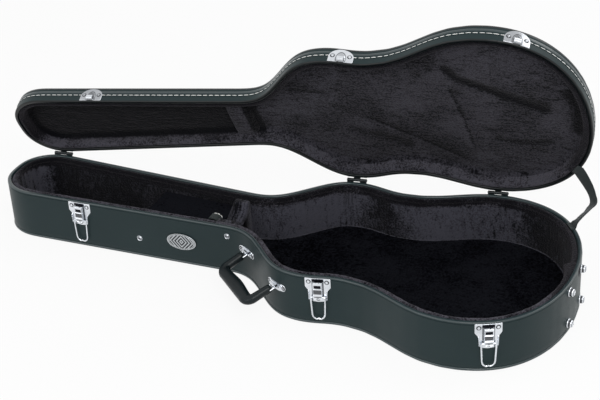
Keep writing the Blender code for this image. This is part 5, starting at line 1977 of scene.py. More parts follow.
@dataclass
class LidLining(SubAssembly):
    """The lid's plush, in one skin from its rolled rim over the coved corner to the ceiling, and its neck pad."""

    roll_radius: float = 0.0052
    cove: float = 0.011
    wall_lumps: tuple[float, float] = (0.0011, 0.0005)
    ceiling_lumps: tuple[float, float] = (0.0009, 0.0004)
    pucker_pitch: float = 0.0078
    pucker_width: float = 0.0034
    pad_station: float = 0.430
    pad_length: float = 0.046
    pad_thickness: float = 0.014
    stripe: tuple[float, float] = (0.4675, 0.4850)
    tones: LidTones = LidTones()
    marks: tuple[PileMark, ...] = (
        PileMark(
            ((0.846, -0.118), (0.866, -0.080), (0.934, -0.038), (1.003, 0.002), (1.012, 0.022)), 0.0085, -0.75, -0.0022
        ),
        PileMark(((0.862, 0.112), (0.857, 0.020), (0.847, -0.060)), 0.0026, -0.62, 0.0018, True),
        PileMark(((0.847, 0.140), (0.790, 0.092), (0.679, 0.010)), 0.0026, -0.60, 0.0018, True),
        PileMark(((1.052, -0.050), (1.060, 0.010), (1.050, 0.075)), 0.0130, -0.55, -0.0004),
        PileMark(((0.900, 0.075), (0.960, 0.092), (1.010, 0.085)), 0.0060, -0.30, -0.0005),
        PileMark(((0.560, -0.060), (0.600, -0.058), (0.640, -0.045)), 0.0060, -0.25, -0.0006),
        PileMark(((0.640, 0.040), (0.720, 0.072), (0.760, 0.100)), 0.0090, -0.28, -0.0006),
    )
    puckers: tuple[tuple[float, float], ...] = ((0.600, 0.135), (0.740, 0.150), (0.840, 0.168), (0.950, 0.184))

    def build(self) -> None:
        """Builds the plush and the neck pad."""
        self.plush()
        self.neck_pad()

    def plush(self) -> None:
        """The plush, with the marks that folding has left in it."""
        sizes = self.sizes
        line = self.outline.line(0.0032)
        outer, inner = sizes.wall + sizes.seam, sizes.lining
        rim = sizes.lid_rim + sizes.seam
        ceiling = sizes.closed_top - sizes.panel - sizes.seam
        face = ceiling - sizes.lid_pad
        turn = self.roll_radius
        profile = [(outer, ceiling), (outer, rim + turn)]
        roll = arc((outer + turn, rim + turn), turn, 180, 352, 12)
        profile += roll[1:]
        profile += stepped([roll[-1], (inner, face - self.cove)], 0.003)[1:]
        walled = len(profile)
        profile += arc((inner + self.cove, face - self.cove), self.cove, 180, 90, 7)[1:]
        profile += [(inner + self.cove + 0.003, face)]
        grid, rise = swept_grid(line, profile)
        span = len(profile)
        wall_part = np.arange(span) > len(roll) + 1
        inward = -line.outward
        large, small = self.wall_lumps
        lumps = cloth_noise(grid, 0.05, 50) * large + cloth_noise(grid, 0.013, 51) * small
        fade = np.where(wall_part, 1.0, 0.0)
        fade[-2:] = (0.6, 0.3)
        grid[:, :, :2] += inward[:, None] * (lumps * fade)[:, :, None]
        fuzz = (cloth_noise(grid, 0.006, 52) * 0.0003 - 0.0003) * (~wall_part & (np.arange(span) > 1))
        grid[:, :, :2] += inward[:, None] * fuzz[:, :, None]
        grid[:, 2:, 2] = np.maximum(grid[:, 2:, 2], rim)
        skin = Skin()
        # the roll and the side walls take the lighter plush as painted light
        finish = [1 if 1 <= k < walled + 1 else 0 for k in range(span - 1)]
        numbers = skin.band(grid, line.travel, rise, line.around, finish=finish)

        def ceiling_face(plan: np.ndarray) -> np.ndarray:
            flat = at_height(plan, face)
            large, small = self.ceiling_lumps
            move = cloth_noise(flat, 0.07, 55) * large + cloth_noise(flat, 0.02, 56) * small
            for mark in self.marks:
                move += mark.strength(plan, self.outline)[1] * mark.rise
            flat[:, 2] -= move
            return flat

        skin.cap(numbers[:, -1], grid[:, -1, :2], 0.0042, ceiling_face)
        skin.cap(numbers[:, 0], grid[:, 0, :2], 0.03, flat_at(ceiling))
        shut = np.concatenate(skin.points)
        both = [self.finishes.lid_plush, self.finishes.roll_plush]
        piece = skin.made("lid_plush", both, self.lid_place.turned, sharp=80)
        brush = self.brushed(shut, face)
        self.keep_plush(piece, Body.LID, 0.6, "lid_side_lining", "lid_top_lining", brush=brush)

    def brushed(self, shut: np.ndarray, face: float) -> np.ndarray:
        """How light or dark the lid's pile is brushed, with painted light and shade added.

        Args:
            shut: Its points, with the lid shut.
            face: The height of the ceiling's face.

        Returns:
            The tone to add at each point.
        """
        station, tones = self.outline.x_of, self.tones
        brush = cloth_noise(shut * (0.3, 1, 1), 0.035, 60) * 0.12
        ceiling = smooth_step(shut[:, 2], face - 0.0105, face - 0.0045)
        # painted shade in the marks' creases and on one side of each fold, and painted light on the other side
        for mark in self.marks:
            brush += mark.strength(shut[:, :2], self.outline)[0] * mark.tone * ceiling
        ragged = shut[:, 0] + cloth_noise(shut, 0.008, 61) * 0.0016
        behind_pad = smooth_step(ragged, station(self.pad_station + 0.004), station(self.pad_station))
        # painted shadow in the band beyond the pad
        first, last = station(self.stripe[0]), station(self.stripe[1])
        stripe = patch((ragged, first - 0.002, first), (ragged, last + 0.003, last - 0.001))
        brush -= tones.behind_pad * behind_pad * ceiling
        brush -= tones.stripe * stripe * ceiling
        # painted shade from the puckering
        brush -= tones.puckers * self.pucker(shut) * smooth_step(shut[:, 2], face - 0.012, face - 0.008)
        at_butt = smooth_step(shut[:, 0], station(0.96), station(1.03))
        by_hinges = smooth_step(shut[:, 1] - 0.09 * at_butt, 0.02, 0.06)
        # painted light on the hinge side's wall, painted shade on the other walls and along the ceiling's edge
        brush += (tones.hinge_side * by_hinges - tones.side) * (1 - ceiling)
        brush -= tones.edge * (1 - by_hinges) * np.exp(-self.from_edge(shut) / 0.02) * ceiling
        return brush

    def pucker(self, shut: np.ndarray) -> np.ndarray:
        """How much painted shade from the row of stitch puckering along the hinge side falls at each point."""
        stations, widths = np.array(self.puckers).T
        edge = np.interp(shut[:, 0], self.outline.x_of(stations), widths, left=9.0, right=9.0)
        off = shut[:, 1] - edge + 0.006 + 0.004 * cloth_noise(shut, 0.012, 63)
        near = np.exp(-((off / self.pucker_width) ** 2))
        turns = shut[:, 0] * 2 * math.pi / self.pucker_pitch
        beats = 0.5 + 0.5 * np.sin(turns + 4.0 * cloth_noise(shut, 0.02, 62))
        return near * smooth_step(beats, 0.45, 0.9) * np.clip(0.8 + 1.4 * cloth_noise(shut, 0.03, 64), 0, 1.2)

    def from_edge(self, shut: np.ndarray) -> np.ndarray:
        """How far in from the side lining each point lies, roughly."""
        line = self.outline.line(0.02)
        gaps = np.linalg.norm(shut[:, None, :2] - line.points[None], axis=2).min(1)
        return np.maximum(gaps - self.sizes.lining, 0)

    def neck_pad(self) -> None:
        """The soft crowned pad that holds the neck down."""
        sizes = self.sizes
        line = self.outline.line(0.004)
        high = sizes.closed_top - sizes.panel - sizes.seam * 2 - sizes.lid_pad
        sections = []
        shares = np.linspace(0, 1, 13)
        across = np.linspace(-1, 1, 33)
        for share in shares:
            station = self.pad_station + self.pad_length * share
            x, half = self.outline.x_of(station), self.half_width(line, station)
            crown = (1 - abs(2 * share - 1) ** 3.2) ** 0.6
            drop = self.pad_thickness * (0.25 + 0.75 * crown) * (1 - 0.35 * np.abs(across) ** 5)
            row = [(x, half * y, high - d) for y, d in zip(across, drop)]
            sections.append(row + [(x, half, high), (x, -half, high)])
        grid = np.array(sections)
        grid[:, :33, 2] += cloth_noise(grid[:, :33], 0.02, 66) * 0.0008
        skin = Skin()
        skin.rod(grid, shares * self.pad_length, np.linspace(0, 0.2, 35))
        piece = skin.made("lid_neck_pad_plush", [self.finishes.lid_plush], self.lid_place.turned, sharp=80)
        shut_x, end = np.concatenate(skin.points)[:, 0], self.stripe[0]
        # painted shade on the pad's end that faces the butt
        pad_end_shade = smooth_step(shut_x, self.outline.x_of(end - 0.002), self.outline.x_of(end + 0.001))
        brush = cloth_noise(points_of(piece), 0.02, 70) * 0.2 + 0.08 - pad_end_shade * self.tones.pad_end
        self.keep_plush(piece, Body.LID, 0.7, "lid_neck_pad", brush=brush)


@dataclass
class Hardware(SubAssembly):
    """The metal whose CAD shapes stay: the bails, the brackets' eyes and the hinges."""

    def build(self) -> None:
        """Gives each node its finish."""
        chrome = [name for name in self.nodes if name.startswith(("latch_bail", "handle_bracket"))]
        self.dress(self.finishes.chrome, *chrome)
        self.dress(self.finishes.black_steel, *[name for name in self.nodes if name.startswith("hinge_")])


@dataclass
class DrawLatches(SubAssembly):
    """The three draw latches: riveted plates, ribbed levers, and the catches on the lid."""

    joints: Sequence[Mapping] = ()
    sheet: float = 0.0012
    seat: float = 0.0003
    plate_width: float = 0.044
    plate_height: float = 0.0465
    plate_waist: float = 0.0332
    plate_foot: float = 0.0316
    shoulder_drop: float = 0.017
    waist_drop: float = 0.024
    lever_drop: float = 0.008
    pivot_out: float = 0.005
    lever_width: float = 0.016
    lever_top: float = 0.0019
    lever_foot: float = 0.0297
    lever_depth: float = 0.0054
    rivet: float = 0.0031
    rivet_rise: float = 0.0013
    rivet_inset: float = 0.0065
    rivet_drop: float = 0.0068
    slot_depth: float = 0.0007
    flange_rise: float = 0.0034
    rib_rise: float = 0.0009
    ribs: tuple[float, ...] = (-0.0099, -0.0212, -0.0229)
    window_depth: float = 0.0013
    lip_fall: float = 0.0012
    catch_rivet: tuple[float, float] = (0.68, 0.45)
    catch_rivet_rise: float = 0.0012
    tongue_rise: float = 0.0015
    catch_width: float = 0.043
    catch_height: float = 0.0265
    catch_straight: float = 0.010
    catch_lift: float = 0.0015
    # painted dark reflection on each catch's plate, by catch
    catch_haze: tuple[float, float, float] = (0.36, 0.0, 0.36)
    hook_width: float = 0.012
    hook: tuple[tuple[float, float], ...] = (
        (0.0004, 0.0009),
        (0.0004, 0.0067),
        (0.0008, 0.0075),
        (0.0016, 0.0079),
        (0.0064, 0.0079),
        (0.0071, 0.0076),
        (0.0071, 0.0067),
        (0.0016, 0.0067),
        (0.0016, 0.0009),
    )

    def build(self) -> None:
        """Builds each latch's plate and lever and its catch."""
        line = self.outline.fine
        for joint in self.joints:
            if not joint["name"].endswith("lever_hinge"):
                continue
            number = joint["name"].split("_")[1]
            pivot = Vector(joint["pos_m"])
            up = Vector((0, 0, 1))
            along = Vector(joint["axis"]).normalized()
            out = along.cross(up)
            if out.y > 0:
                along, out = -along, -out
            frame = frame_of(along, up, out, pivot)
            self.plate(number, frame, line)
            self.lever(number, frame)
            self.catch(number, frame, line)

    def settled(self, frame: Matrix, line: RingLine, flat: float) -> Move:
        """A function that lays a plate's points on the wall.

        Args:
            frame: The plate's frame.
            line: The case's line.
            flat: Half the width over which the plate stays flat.

        Returns:
            The function.
        """
        local = turned_to(frame.inverted())(at_height(line.points, frame.translation.z))
        near = local[(np.abs(local[:, 0]) < 0.04) & (np.abs(local[:, 2]) < 0.02)]
        near = near[np.argsort(near[:, 0])]
        across = np.linspace(-0.03, 0.03, 121)
        depth = np.interp(across, near[:, 0], near[:, 2])
        middle = np.abs(across) <= flat
        depth[middle] = depth[middle].max()
        depth = np.convolve(np.pad(depth, 4, "edge"), np.ones(9) / 9, "valid")
        to_world = turned_to(frame)

        def settle(points: np.ndarray) -> np.ndarray:
            moved = points.copy()
            moved[:, 2] += np.interp(points[:, 0], across, depth)
            return to_world(moved)

        return settle

    def plate(self, number: str, frame: Matrix, line: RingLine) -> None:
        """One riveted plate, with its slot and its flanges, and painted shade in the slot, round the rivets, in the
        gaps beside the lever and under its foot.

        Args:
            number: The latch's number.
            frame: The lever pin's frame, with Y up and Z out.
            line: The case's line.
        """
        top, waist, foot, low = self.plate_width / 2, self.plate_waist / 2, self.plate_foot / 2, -self.plate_height
        right = [(top, 0, 0.0012), (top, -self.shoulder_drop, 0.003), (waist, -self.waist_drop, 0.004)]
        right += [(foot, low + 0.005, 0.003), (foot * 0.62, low + 0.0012, 0.004), (0, low, 0)]
        outline = rounded_corners(right + [(-x, y, r) for x, y, r in reversed(right[:-1])])
        inset, drop = self.rivet_inset, self.rivet_drop
        rivets = ((top - inset, -drop), (inset - top, -drop), (0, low + drop))

        def relief(plan: np.ndarray) -> Shaded:
            x, y = np.abs(plan[:, 0]), plan[:, 1]
            rise, dark = np.zeros(len(plan)), np.zeros(len(plan))
            for at in rivets:
                dome, ring = stud(plan, *at, self.rivet, self.rivet_rise)
                rise, dark = rise + dome, np.maximum(dark, ring)
            slot = patch((x, 0.0104, 0.0099), (y, -0.0072, -0.0067), (y, -0.0008, -0.0013))
            down = np.clip((-y - self.waist_drop) / (self.plate_height - self.waist_drop), 0, 1)
            edge = waist + (foot - waist) * down
            flange = patch((y, -self.waist_drop + 0.001, -self.waist_drop - 0.002), (y, low + 0.004, low + 0.006))
            flange = flange * smooth_step(x, edge - 0.0017, edge - 0.0012)
            # painted shade: the slot, the gaps beside the lever and the strip under its foot are darkened
            gap = patch((x, 0.0079, 0.0083), (x, 0.0104, 0.0098), (y, -0.0385, -0.037), (y, -0.004, -0.006))
            under = patch((x, 0.0085, 0.0075), (y, -0.0400, -0.0390), (y, -0.0340, -0.0370))
            dark = np.maximum.reduce([dark, slot, gap * 0.85, under * 0.8])
            return rise + flange * self.flange_rise - slot * self.slot_depth, dark

        skin = Skin()
        place = frame @ Matrix.Translation((0, self.lever_drop, -self.pivot_out))
        settle = self.settled(place, line, self.lever_width / 2 + self.sheet * 2)
        dark = Pressing(outline, self.seat, self.seat + self.sheet, relief).add_to(skin, settle)
        self.keep_pressed(f"latch_face_{number}", skin, dark, Body.BASE, f"latch_plate_{number}")

    def lever(self, number: str, frame: Matrix) -> None:
        """One lever: a pressed channel with two windows that are darkened as painted shade, ribs across and a
        turned-up lip.

        Args:
            number: The latch's number.
            frame: The lever pin's frame, with Y up and Z out.
        """
        half, low = self.lever_width / 2, -self.lever_foot
        corners = [(half, self.lever_top, 0.0012), (half, low + 0.003, 0.0006), (half - 0.0022, low, 0.0015)]
        outline = rounded_corners(corners + [(-x, y, r) for x, y, r in reversed(corners)])

        def relief(plan: np.ndarray) -> Shaded:
            x, y, soft = np.abs(plan[:, 0]), plan[:, 1], 0.0003

            def window(low_y: float, high_y: float, wide: float) -> np.ndarray:
                ends = (y, low_y - soft, low_y + soft), (y, high_y + soft, high_y - soft)
                return patch((x, wide, wide - 0.0005), *ends)

            high, broad = window(-0.0086, -0.0024, 0.0060), window(-0.0199, -0.0112, 0.0068)
            foot = window(-0.0266, -0.0242, 0.0062)
            ribs = sum(np.exp(-(((y - at) / 0.0008) ** 2)) for at in self.ribs)
            cheek = smooth_step(x, half - 0.0014, half - 0.0008)
            fall = smooth_step(y, -0.0240, -0.0285)
            rise = ribs * self.rib_rise * (1 - cheek) + cheek * 0.0004
            rise = rise - (high + broad) * self.window_depth - foot * 0.0004 - fall * self.lip_fall
            # painted shade in the windows, in the foot window and under the lip
            return rise, np.maximum.reduce([high, broad * 0.86, foot * 0.8, (fall > 0.1) * (x < 0.002) * 0.5])

        skin = Skin()
        deep = self.lever_depth / 2
        dark = Pressing(outline, -deep, deep, relief, 0.0005, 0.0006).add_to(skin, turned_to(frame))
        body = f"latch_{number}_lever"
        self.keep_pressed(f"ribbed_lever_{number}", skin, dark, body, f"latch_lever_{number}")

    def catch(self, number: str, frame: Matrix, line: RingLine) -> None:
        """One catch on the lid: a domed plate with two rivets, a raised tongue and the hook for the bail, with painted
        shade and painted dark reflections.

        Args:
            number: The latch's number.
            frame: The lever pin's frame, with Y up and Z out.
            line: The case's line.
        """
        half, straight = self.catch_width / 2, self.catch_straight
        rise_y = self.catch_height - straight
        outline = [(-half, 0), (half, 0)] + [
            (half * math.cos(t), straight + rise_y * math.sin(t)) for t in np.linspace(0, math.pi, 25)
        ]

        def relief(plan: np.ndarray) -> Shaded:
            x, y = np.abs(plan[:, 0]), plan[:, 1]
            across, up = half * self.catch_rivet[0], self.catch_height * self.catch_rivet[1]
            dome, ring = stud(plan, across, up, self.rivet, self.catch_rivet_rise)
            other, second = stud(plan, -across, up, self.rivet, self.catch_rivet_rise)
            reach = np.hypot(x / 0.0082, (y - 0.006) / 0.0135)
            tongue = smooth_step(reach, 1.0, 0.75)
            # painted shade in a ring round the tongue and where the hook meets the plate
            outer = patch((reach, 0.92, 1.0), (reach, 1.14, 1.06))
            foot = patch((x, 0.0078, 0.0070), (y, 0.0094, 0.0086), (y, 0.0006, 0.0010))
            # painted dark reflection on the tongue and on the whole plate
            dull = tongue * 0.3 + 0.06 + self.catch_haze[int(number) - 1]
            dark = np.maximum.reduce([ring, second, outer * 0.9, foot * 0.85, dull])
            return dome + other + tongue * self.tongue_rise, dark

        place = frame @ Matrix.Translation((0, 0, -self.pivot_out))
        place.translation.z = self.sizes.lid_rim + self.catch_lift
        across = self.hook_width / 2
        settle = self.settled(place, line, across)
        skin = Skin()
        dark = Pressing(outline, self.seat, self.seat + self.sheet, relief).add_to(skin, settle)
        hook = np.array([[(x, y, z) for y, z in self.hook] for x in np.linspace(-across, across, 5)])
        hook = settle(hook.reshape(-1, 3)).reshape(hook.shape)
        skin.rod(hook, np.linspace(0, self.hook_width, 5), np.linspace(0, 0.02, len(self.hook)))
        dark = np.concatenate([dark, np.zeros(hook.shape[0] * hook.shape[1])])
        name, node = f"catch_face_{number}", f"catch_plate_{number}"
        self.keep_pressed(name, skin, dark, Body.LID, node, turn=self.lid_place.turned)


@dataclass
class CarryHandle(SubAssembly):
    """The moulded handle, its wire loops and the long plates under its eyes."""

    joints: Sequence[Mapping] = ()
    droop: float = math.radians(21)
    reach: float = 0.0610
    corner: float = 0.0125
    arm_start: float = 0.0052
    arm_half: float = 0.0068
    arm_thick: float = 0.0070
    bar_half: float = 0.0106
    bar_bow: float = 0.0014
    bar_thick: float = 0.0080
    ridge: float = 0.0004
    squareness: float = 0.86
    wire: float = 0.0012
    loop_half: float = 0.0064
    loop_reach: float = 0.0112
    loop_bend: float = 0.0022
    arm_lean: float = 0.0015
    plate_length: float = 0.045
    plate_width: float = 0.0135
    screw: float = 0.0036
    screw_rise: float = 0.0018
    screw_inset: float = 0.0054

    def build(self) -> None:
        """Builds the grip, its loops and the two plates."""
        joint = next(joint for joint in self.joints if joint["name"] == "handle_swing")
        along = Vector(joint["axis"]).normalized()
        up = Vector((0, 0, 1))
        level = along.cross(up)
        if level.y > 0:
            level = -level
        out = (level * math.cos(self.droop) - up * math.sin(self.droop)).normalized()
        frame = frame_of(along, out, along.cross(out), Vector(joint["pos_m"]))
        turn_back = frame.inverted()
        spans = []
        for name in ("handle_loop_1", "handle_loop_2"):
            low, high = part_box(name)
            spans.append((turn_back @ ((low + high) / 2)).x)
        self.grip(frame, (max(spans) - min(spans)) / 2)
        for i, x in enumerate(spans, 1):
            self.loop(i, frame @ Matrix.Translation((x, 0, 0)))
        line = self.outline.fine
        for i in (1, 2):
            self.plate(i, line)

    def grip(self, frame: Matrix, side: float) -> None:
        """The handle: two round arms that thicken into a fuller bar, bowed on the fingers' side.

        Args:
            frame: The handle's frame, with X along its hinge and Y out to the bar.
            side: How far each arm stands from the middle.
        """
        middle, stage = self.grip_path(side)
        run = np.gradient(middle, axis=0)
        run /= np.linalg.norm(run, axis=1)[:, None]
        outer = np.stack([-run[:, 1], run[:, 0]], 1)
        outer *= np.sign((outer * (middle - (0, 0.02))).sum(1))[:, None]
        share = np.clip(stage, 0, 1)
        from_end = np.minimum(np.arange(len(middle)), np.arange(len(middle))[::-1])
        tip = np.sqrt(np.clip(1 - np.clip(1 - from_end / 2.0, 0, 1) ** 2, 0, 1)) * 0.35 + 0.65
        grow = np.clip(from_end / 14, 0, 1)
        bow = self.bar_bow * smooth_step(stage, 1.0, 2.0)
        half = (self.arm_half + 0.0010 * grow) * (1 - share) + self.bar_half * share
        thick = (self.arm_thick + 0.0006 * grow) * (1 - share) + self.bar_thick * share
        turns = np.linspace(0, 2 * math.pi, 28, endpoint=False)
        cosine, sine = np.cos(turns), np.sin(turns)
        round_in = np.sign(cosine) * np.abs(cosine) ** self.squareness
        round_up = np.sign(sine) * np.abs(sine) ** self.squareness
        seam = self.ridge * (np.exp(-((sine / 0.10) ** 2)))
        rows = []
        for i in range(len(middle)):
            in_plane = np.where(cosine > 0, half[i], half[i] + bow[i] * 2) * round_in
            width = (in_plane + seam * np.sign(cosine)) * tip[i]
            flat = middle[i] + outer[i] * width[:, None]
            rows.append(np.column_stack([flat, thick[i] * round_up * tip[i]]))
        grid = turned_to(frame)(np.array(rows).reshape(-1, 3)).reshape(len(middle), len(turns), 3)
        skin = Skin()
        skin.rod(grid, travelled(middle), turns * 0.008)
        piece = skin.made("moulded_handle", [self.finishes.grip], sharp=75)
        self.keep(piece, Body.HANDLE, Slot.HANDLE, "handle_grip")

    def grip_path(self, side: float) -> tuple[np.ndarray, np.ndarray]:
        """The middle line of the grip, from one arm's end to the other's.

        Args:
            side: How far each arm's end stands from the middle.

        Returns:
            The line in the handle's plane, and how far each point is on its way: 0 on an arm, 1 where the bar
            starts and 2 at its middle.
        """
        bar_line, lean = self.reach - self.bar_half, self.arm_lean
        inside, straight = side - lean - self.corner, bar_line - self.corner
        path = [
            (side - lean * s, self.arm_start + (straight - self.arm_start) * s, 0.0) for s in np.linspace(0, 1, 14)
        ]
        for turn in np.linspace(0, math.pi / 2, 12)[1:]:
            bend = (inside + self.corner * math.cos(turn), straight + self.corner * math.sin(turn))
            path.append((*bend, turn / (math.pi / 2)))
        path += [(inside * (1 - s), bar_line, 1.0 + s) for s in np.linspace(0, 1, 16)[1:]]
        path += [(-x, y, s) for x, y, s in reversed(path[:-1])]
        return np.array([(x, y) for x, y, _ in path]), np.array([s for _, _, s in path])

    def loop(self, number: int, frame: Matrix) -> None:
        """One wire loop, through its eye and into the end of an arm.

        Args:
            number: The loop's number.
            frame: Its frame in its eye, with Y out along the arm.
        """
        wide, far = self.loop_half, self.loop_reach
        corners = [(x, y, self.loop_bend) for x, y in ((-wide, 0), (wide, 0), (wide, far), (-wide, far))]
        line = even_loop(rounded_corners(corners), 0.0006)
        turns = np.linspace(0, 2 * math.pi, 12, endpoint=False)
        side = right_of(heading(line))
        grid = np.empty((len(line), 12, 3))
        grid[:, :, :2] = line[:, None] + side[:, None] * (np.cos(turns) * self.wire)[None, :, None]
        grid[:, :, 2] = np.sin(turns) * self.wire
        grid = turned_to(frame)(grid.reshape(-1, 3)).reshape(grid.shape)
        skin = Skin()
        skin.band(grid, np.linspace(0, 0.05, len(line)), turns * self.wire, 0.05, closed=True)
        piece = skin.made(f"wire_loop_{number}", [self.finishes.chrome])
        self.keep(piece, Body.HANDLE, Slot.CHROME, f"handle_loop_{number}")

    def plate(self, number: int, line: RingLine) -> None:
        """One long plate under an eye, bent to the wall, with a screw at each end, and painted shade round and in the
        screws and in the hollow between them.

        Args:
            number: The eye's number.
            line: The case's line.
        """
        low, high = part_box(f"handle_bracket_{number}")
        middle = (low + high) / 2
        start = line.nearest(middle)
        half, wide = self.plate_length / 2, self.plate_width / 2
        corners = ((-half, -wide), (half, -wide), (half, wide), (-half, wide))
        outline = rounded_corners([(x, y, wide * 0.96) for x, y in corners], 10)

        def settle(points: np.ndarray) -> np.ndarray:
            along = (line.travel[start] - points[:, 0]) / line.around * len(line.points)
            low_number = np.floor(along).astype(int)
            share = (along - low_number)[:, None]
            first, second = low_number % len(line.points), (low_number + 1) % len(line.points)
            plan = line.points[first] * (1 - share) + line.points[second] * share
            out = line.outward[first] * (1 - share) + line.outward[second] * share
            return np.column_stack([plan + out * points[:, 2:], middle.z + points[:, 1]])

        def relief(plan: np.ndarray) -> Shaded:
            rise, dark = np.zeros(len(plan)), np.zeros(len(plan))
            for at in (-half + self.screw_inset, half - self.screw_inset):
                dome, ring = stud(plan, at, 0, self.screw, self.screw_rise)
                x, y = np.abs(plan[:, 0] - at), np.abs(plan[:, 1])
                cross = patch((np.minimum(x, y), 0.0008, 0.0004), (np.maximum(x, y), 0.0025, 0.0021))
                rise = rise + dome - cross * 0.0009
                dark = np.maximum.reduce([dark, ring, cross])
            # painted shade in the hollow between the screws
            hollow = smooth_step(np.abs(plan[:, 0]), half * 0.60, half * 0.52)
            slot = hollow * smooth_step(np.abs(plan[:, 1]), wide * 0.62, wide * 0.42)
            return rise - hollow * 0.0004, np.maximum(dark, slot * 0.9)

        skin = Skin()
        dark = Pressing(outline, 0.0002, 0.0014, relief, 0.0006).add_to(skin, settle)
        self.keep_pressed(f"handle_plate_{number}", skin, dark, Body.BASE)


@dataclass
class SmallFittings(SubAssembly):
    """The turned feet, the crossed screws and the cast badge."""

    foot_radius: float = 0.0082
    foot_rise: float = 0.0095
    foot_collar: tuple[tuple[float, float], ...] = (
        (0.97, 0), (1, 0.05), (1, 0.13), (0.96, 0.19), (0.84, 0.27), (0.79, 0.36), (0.79, 0.58),
    )
    dome: float = 0.79
    screw_radius: float = 0.0054
    screw_rise: float = 0.0024
    screw_turn: float = 0.4
    cross_depth: float = 0.0012
    badge_length: float = 0.058
    badge_width: float = 0.033
    badge_thickness: float = 0.0022
    badge_beads: int = 44
    badge_carving: float = 0.4

    def build(self) -> None:
        """Builds every foot and screw, and the badge."""
        line = self.outline.fine
        for name in sorted(self.nodes):
            if name.startswith(("butt_foot", "spine_foot")):
                self.foot(name, line)
            elif name.startswith("compartment_screw"):
                self.screw(name, line)
        self.badge(line)

    def seat(self, name: str, line: RingLine) -> Matrix:
        """A frame on the wall behind a CAD node."""
        low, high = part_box(name)
        middle = (low + high) / 2
        return line.frame_by(middle, middle.z)

    def turned(
        self, profile: Outline, frame: Matrix, steps: int, sink: Optional[Move] = None,
        stretch: tuple[float, float] = (1, 1),
    ) -> tuple[Skin, np.ndarray]:
        """A turned solid about a frame's Z.

        Args:
            profile: Its radii and heights, from its foot to its top, both off the axis.
            frame: Where it stands.
            steps: Its points round the axis.
            sink: Gives how far each point is pressed down.
            stretch: Its size along X and Y.

        Returns:
            The skin and the local points.
        """
        turns = np.linspace(0, 2 * math.pi, steps, endpoint=False)
        radii, heights = np.array(profile).T
        plan = [np.outer(way(turns), radii) * size for way, size in zip((np.cos, np.sin), stretch)]
        local = np.stack([*plan, np.repeat(heights[None], steps, 0)], 2)
        if sink is not None:
            local[:, :, 2] -= sink(local)
        skin = Skin()
        numbers = skin.band(turned_to(frame)(local), turns, np.linspace(0, 1, len(profile)), 2 * math.pi)
        skin.end(numbers[:, 0])
        skin.end(numbers[:, -1])
        return skin, local

    def foot(self, name: str, line: RingLine) -> None:
        """One domed foot on its collar, with painted shade in its neck and painted dark reflections in a ring and at
        the middle of its dome.

        Args:
            name: The foot's CAD node.
            line: The case's line.
        """
        rise, radius = self.foot_rise, self.foot_radius
        profile = [(radius * out, rise * up) for out, up in self.foot_collar]
        turns = np.linspace(0.12, 1.52, 9)
        profile += [(radius * self.dome * math.cos(t), rise * (0.60 + 0.40 * math.sin(t))) for t in turns]
        skin, local = self.turned(profile, self.seat(name, line), 40)
        piece = skin.made(f"domed_{name}", [self.finishes.chrome])
        height = local[:, :, 2] / rise
        reach = np.hypot(local[:, :, 0], local[:, :, 1]) / radius
        # painted shade in the neck, and painted dark reflections on the dome
        neck = patch((height, 0.18, 0.23), (height, 0.66, 0.56))
        ring = patch((height, 0.80, 0.84), (height, 0.92, 0.88))
        middle = smooth_step(reach, 0.16, 0.08) * (height > 0.6)
        give(piece, "recess", np.maximum.reduce([neck * 0.95, ring * 0.7, middle]))
        self.keep(piece, Body.BASE, Slot.CHROME, name)

    def screw(self, name: str, line: RingLine) -> None:
        """One screw in its cup washer, with a cross pressed into its head, and painted shade in the cross and in the
        groove round the head.

        Args:
            name: The screw's CAD node.
            line: The case's line.
        """
        rise, radius = self.screw_rise, self.screw_radius
        profile = [(radius, 0), (radius, rise * 0.25)]
        profile += [(radius * s, self.screw_height(s)) for s in np.linspace(0.97, 0.01, 34)]

        def cross(local: np.ndarray) -> np.ndarray:
            x, y = np.abs(local[:, :, 0]), np.abs(local[:, :, 1])
            arms = patch((np.minimum(x, y), 0.0010, 0.0006), (np.maximum(x, y), radius * 0.42, radius * 0.38))
            return arms * self.cross_depth

        place = self.seat(name, line) @ Matrix.Rotation(self.screw_turn, 4, "Z")
        skin, local = self.turned(profile, place, 64, cross)
        piece = skin.made(f"crossed_{name}", [self.finishes.chrome], sharp=60)
        reach = np.hypot(local[:, :, 0], local[:, :, 1]) / radius
        # painted shade in the groove round the head and in the cross
        ring = patch((reach, 0.48, 0.54), (reach, 0.74, 0.66))
        give(piece, "recess", np.maximum(ring, cross(local) / self.cross_depth) * (local[:, :, 2] > 0.0001))
        self.keep(piece, Body.BASE, Slot.CHROME, name)

    def screw_height(self, share: float) -> float:
        """The height of the screw and its washer at a share of their radius."""
        washer = 0.75 * math.exp(-(((share - 0.82) / 0.14) ** 2))
        head = 0.95 * math.sqrt(max(0.0, 1 - (share / 0.56) ** 2.6)) if share < 0.56 else 0.0
        return self.screw_rise * max(washer, head, 0.22)

    def badge(self, line: RingLine) -> None:
        """The oval badge: a beaded border round nested lozenges, a plain pattern with no words.

        Args:
            line: The case's line.
        """
        thick = self.badge_thickness
        profile = [(0.97, 0.0), (1.0, thick * 0.3), (0.99, thick * 0.8), (0.965, thick)]
        profile += [(s, thick) for s in np.linspace(0.94, 0.01, 60)]

        def carved(local: np.ndarray) -> np.ndarray:
            x, y = local[:, :, 0] / (self.badge_length / 2), local[:, :, 1] / (self.badge_width / 2)
            reach, turn = np.hypot(x, y), np.arctan2(y, x)
            beads = 0.45 + 0.45 * np.cos(turn * self.badge_beads)
            lozenges = 0.5 + 0.5 * np.cos((np.abs(x) * 4.6 + np.abs(y) * 2.3) * 2 * math.pi)
            depth = np.where(reach < 0.8, lozenges, 0.0)
            depth = np.where(np.abs(reach - 0.88) < 0.045, beads, depth)
            return depth * thick * self.badge_carving * (local[:, :, 2] > thick * 0.9)

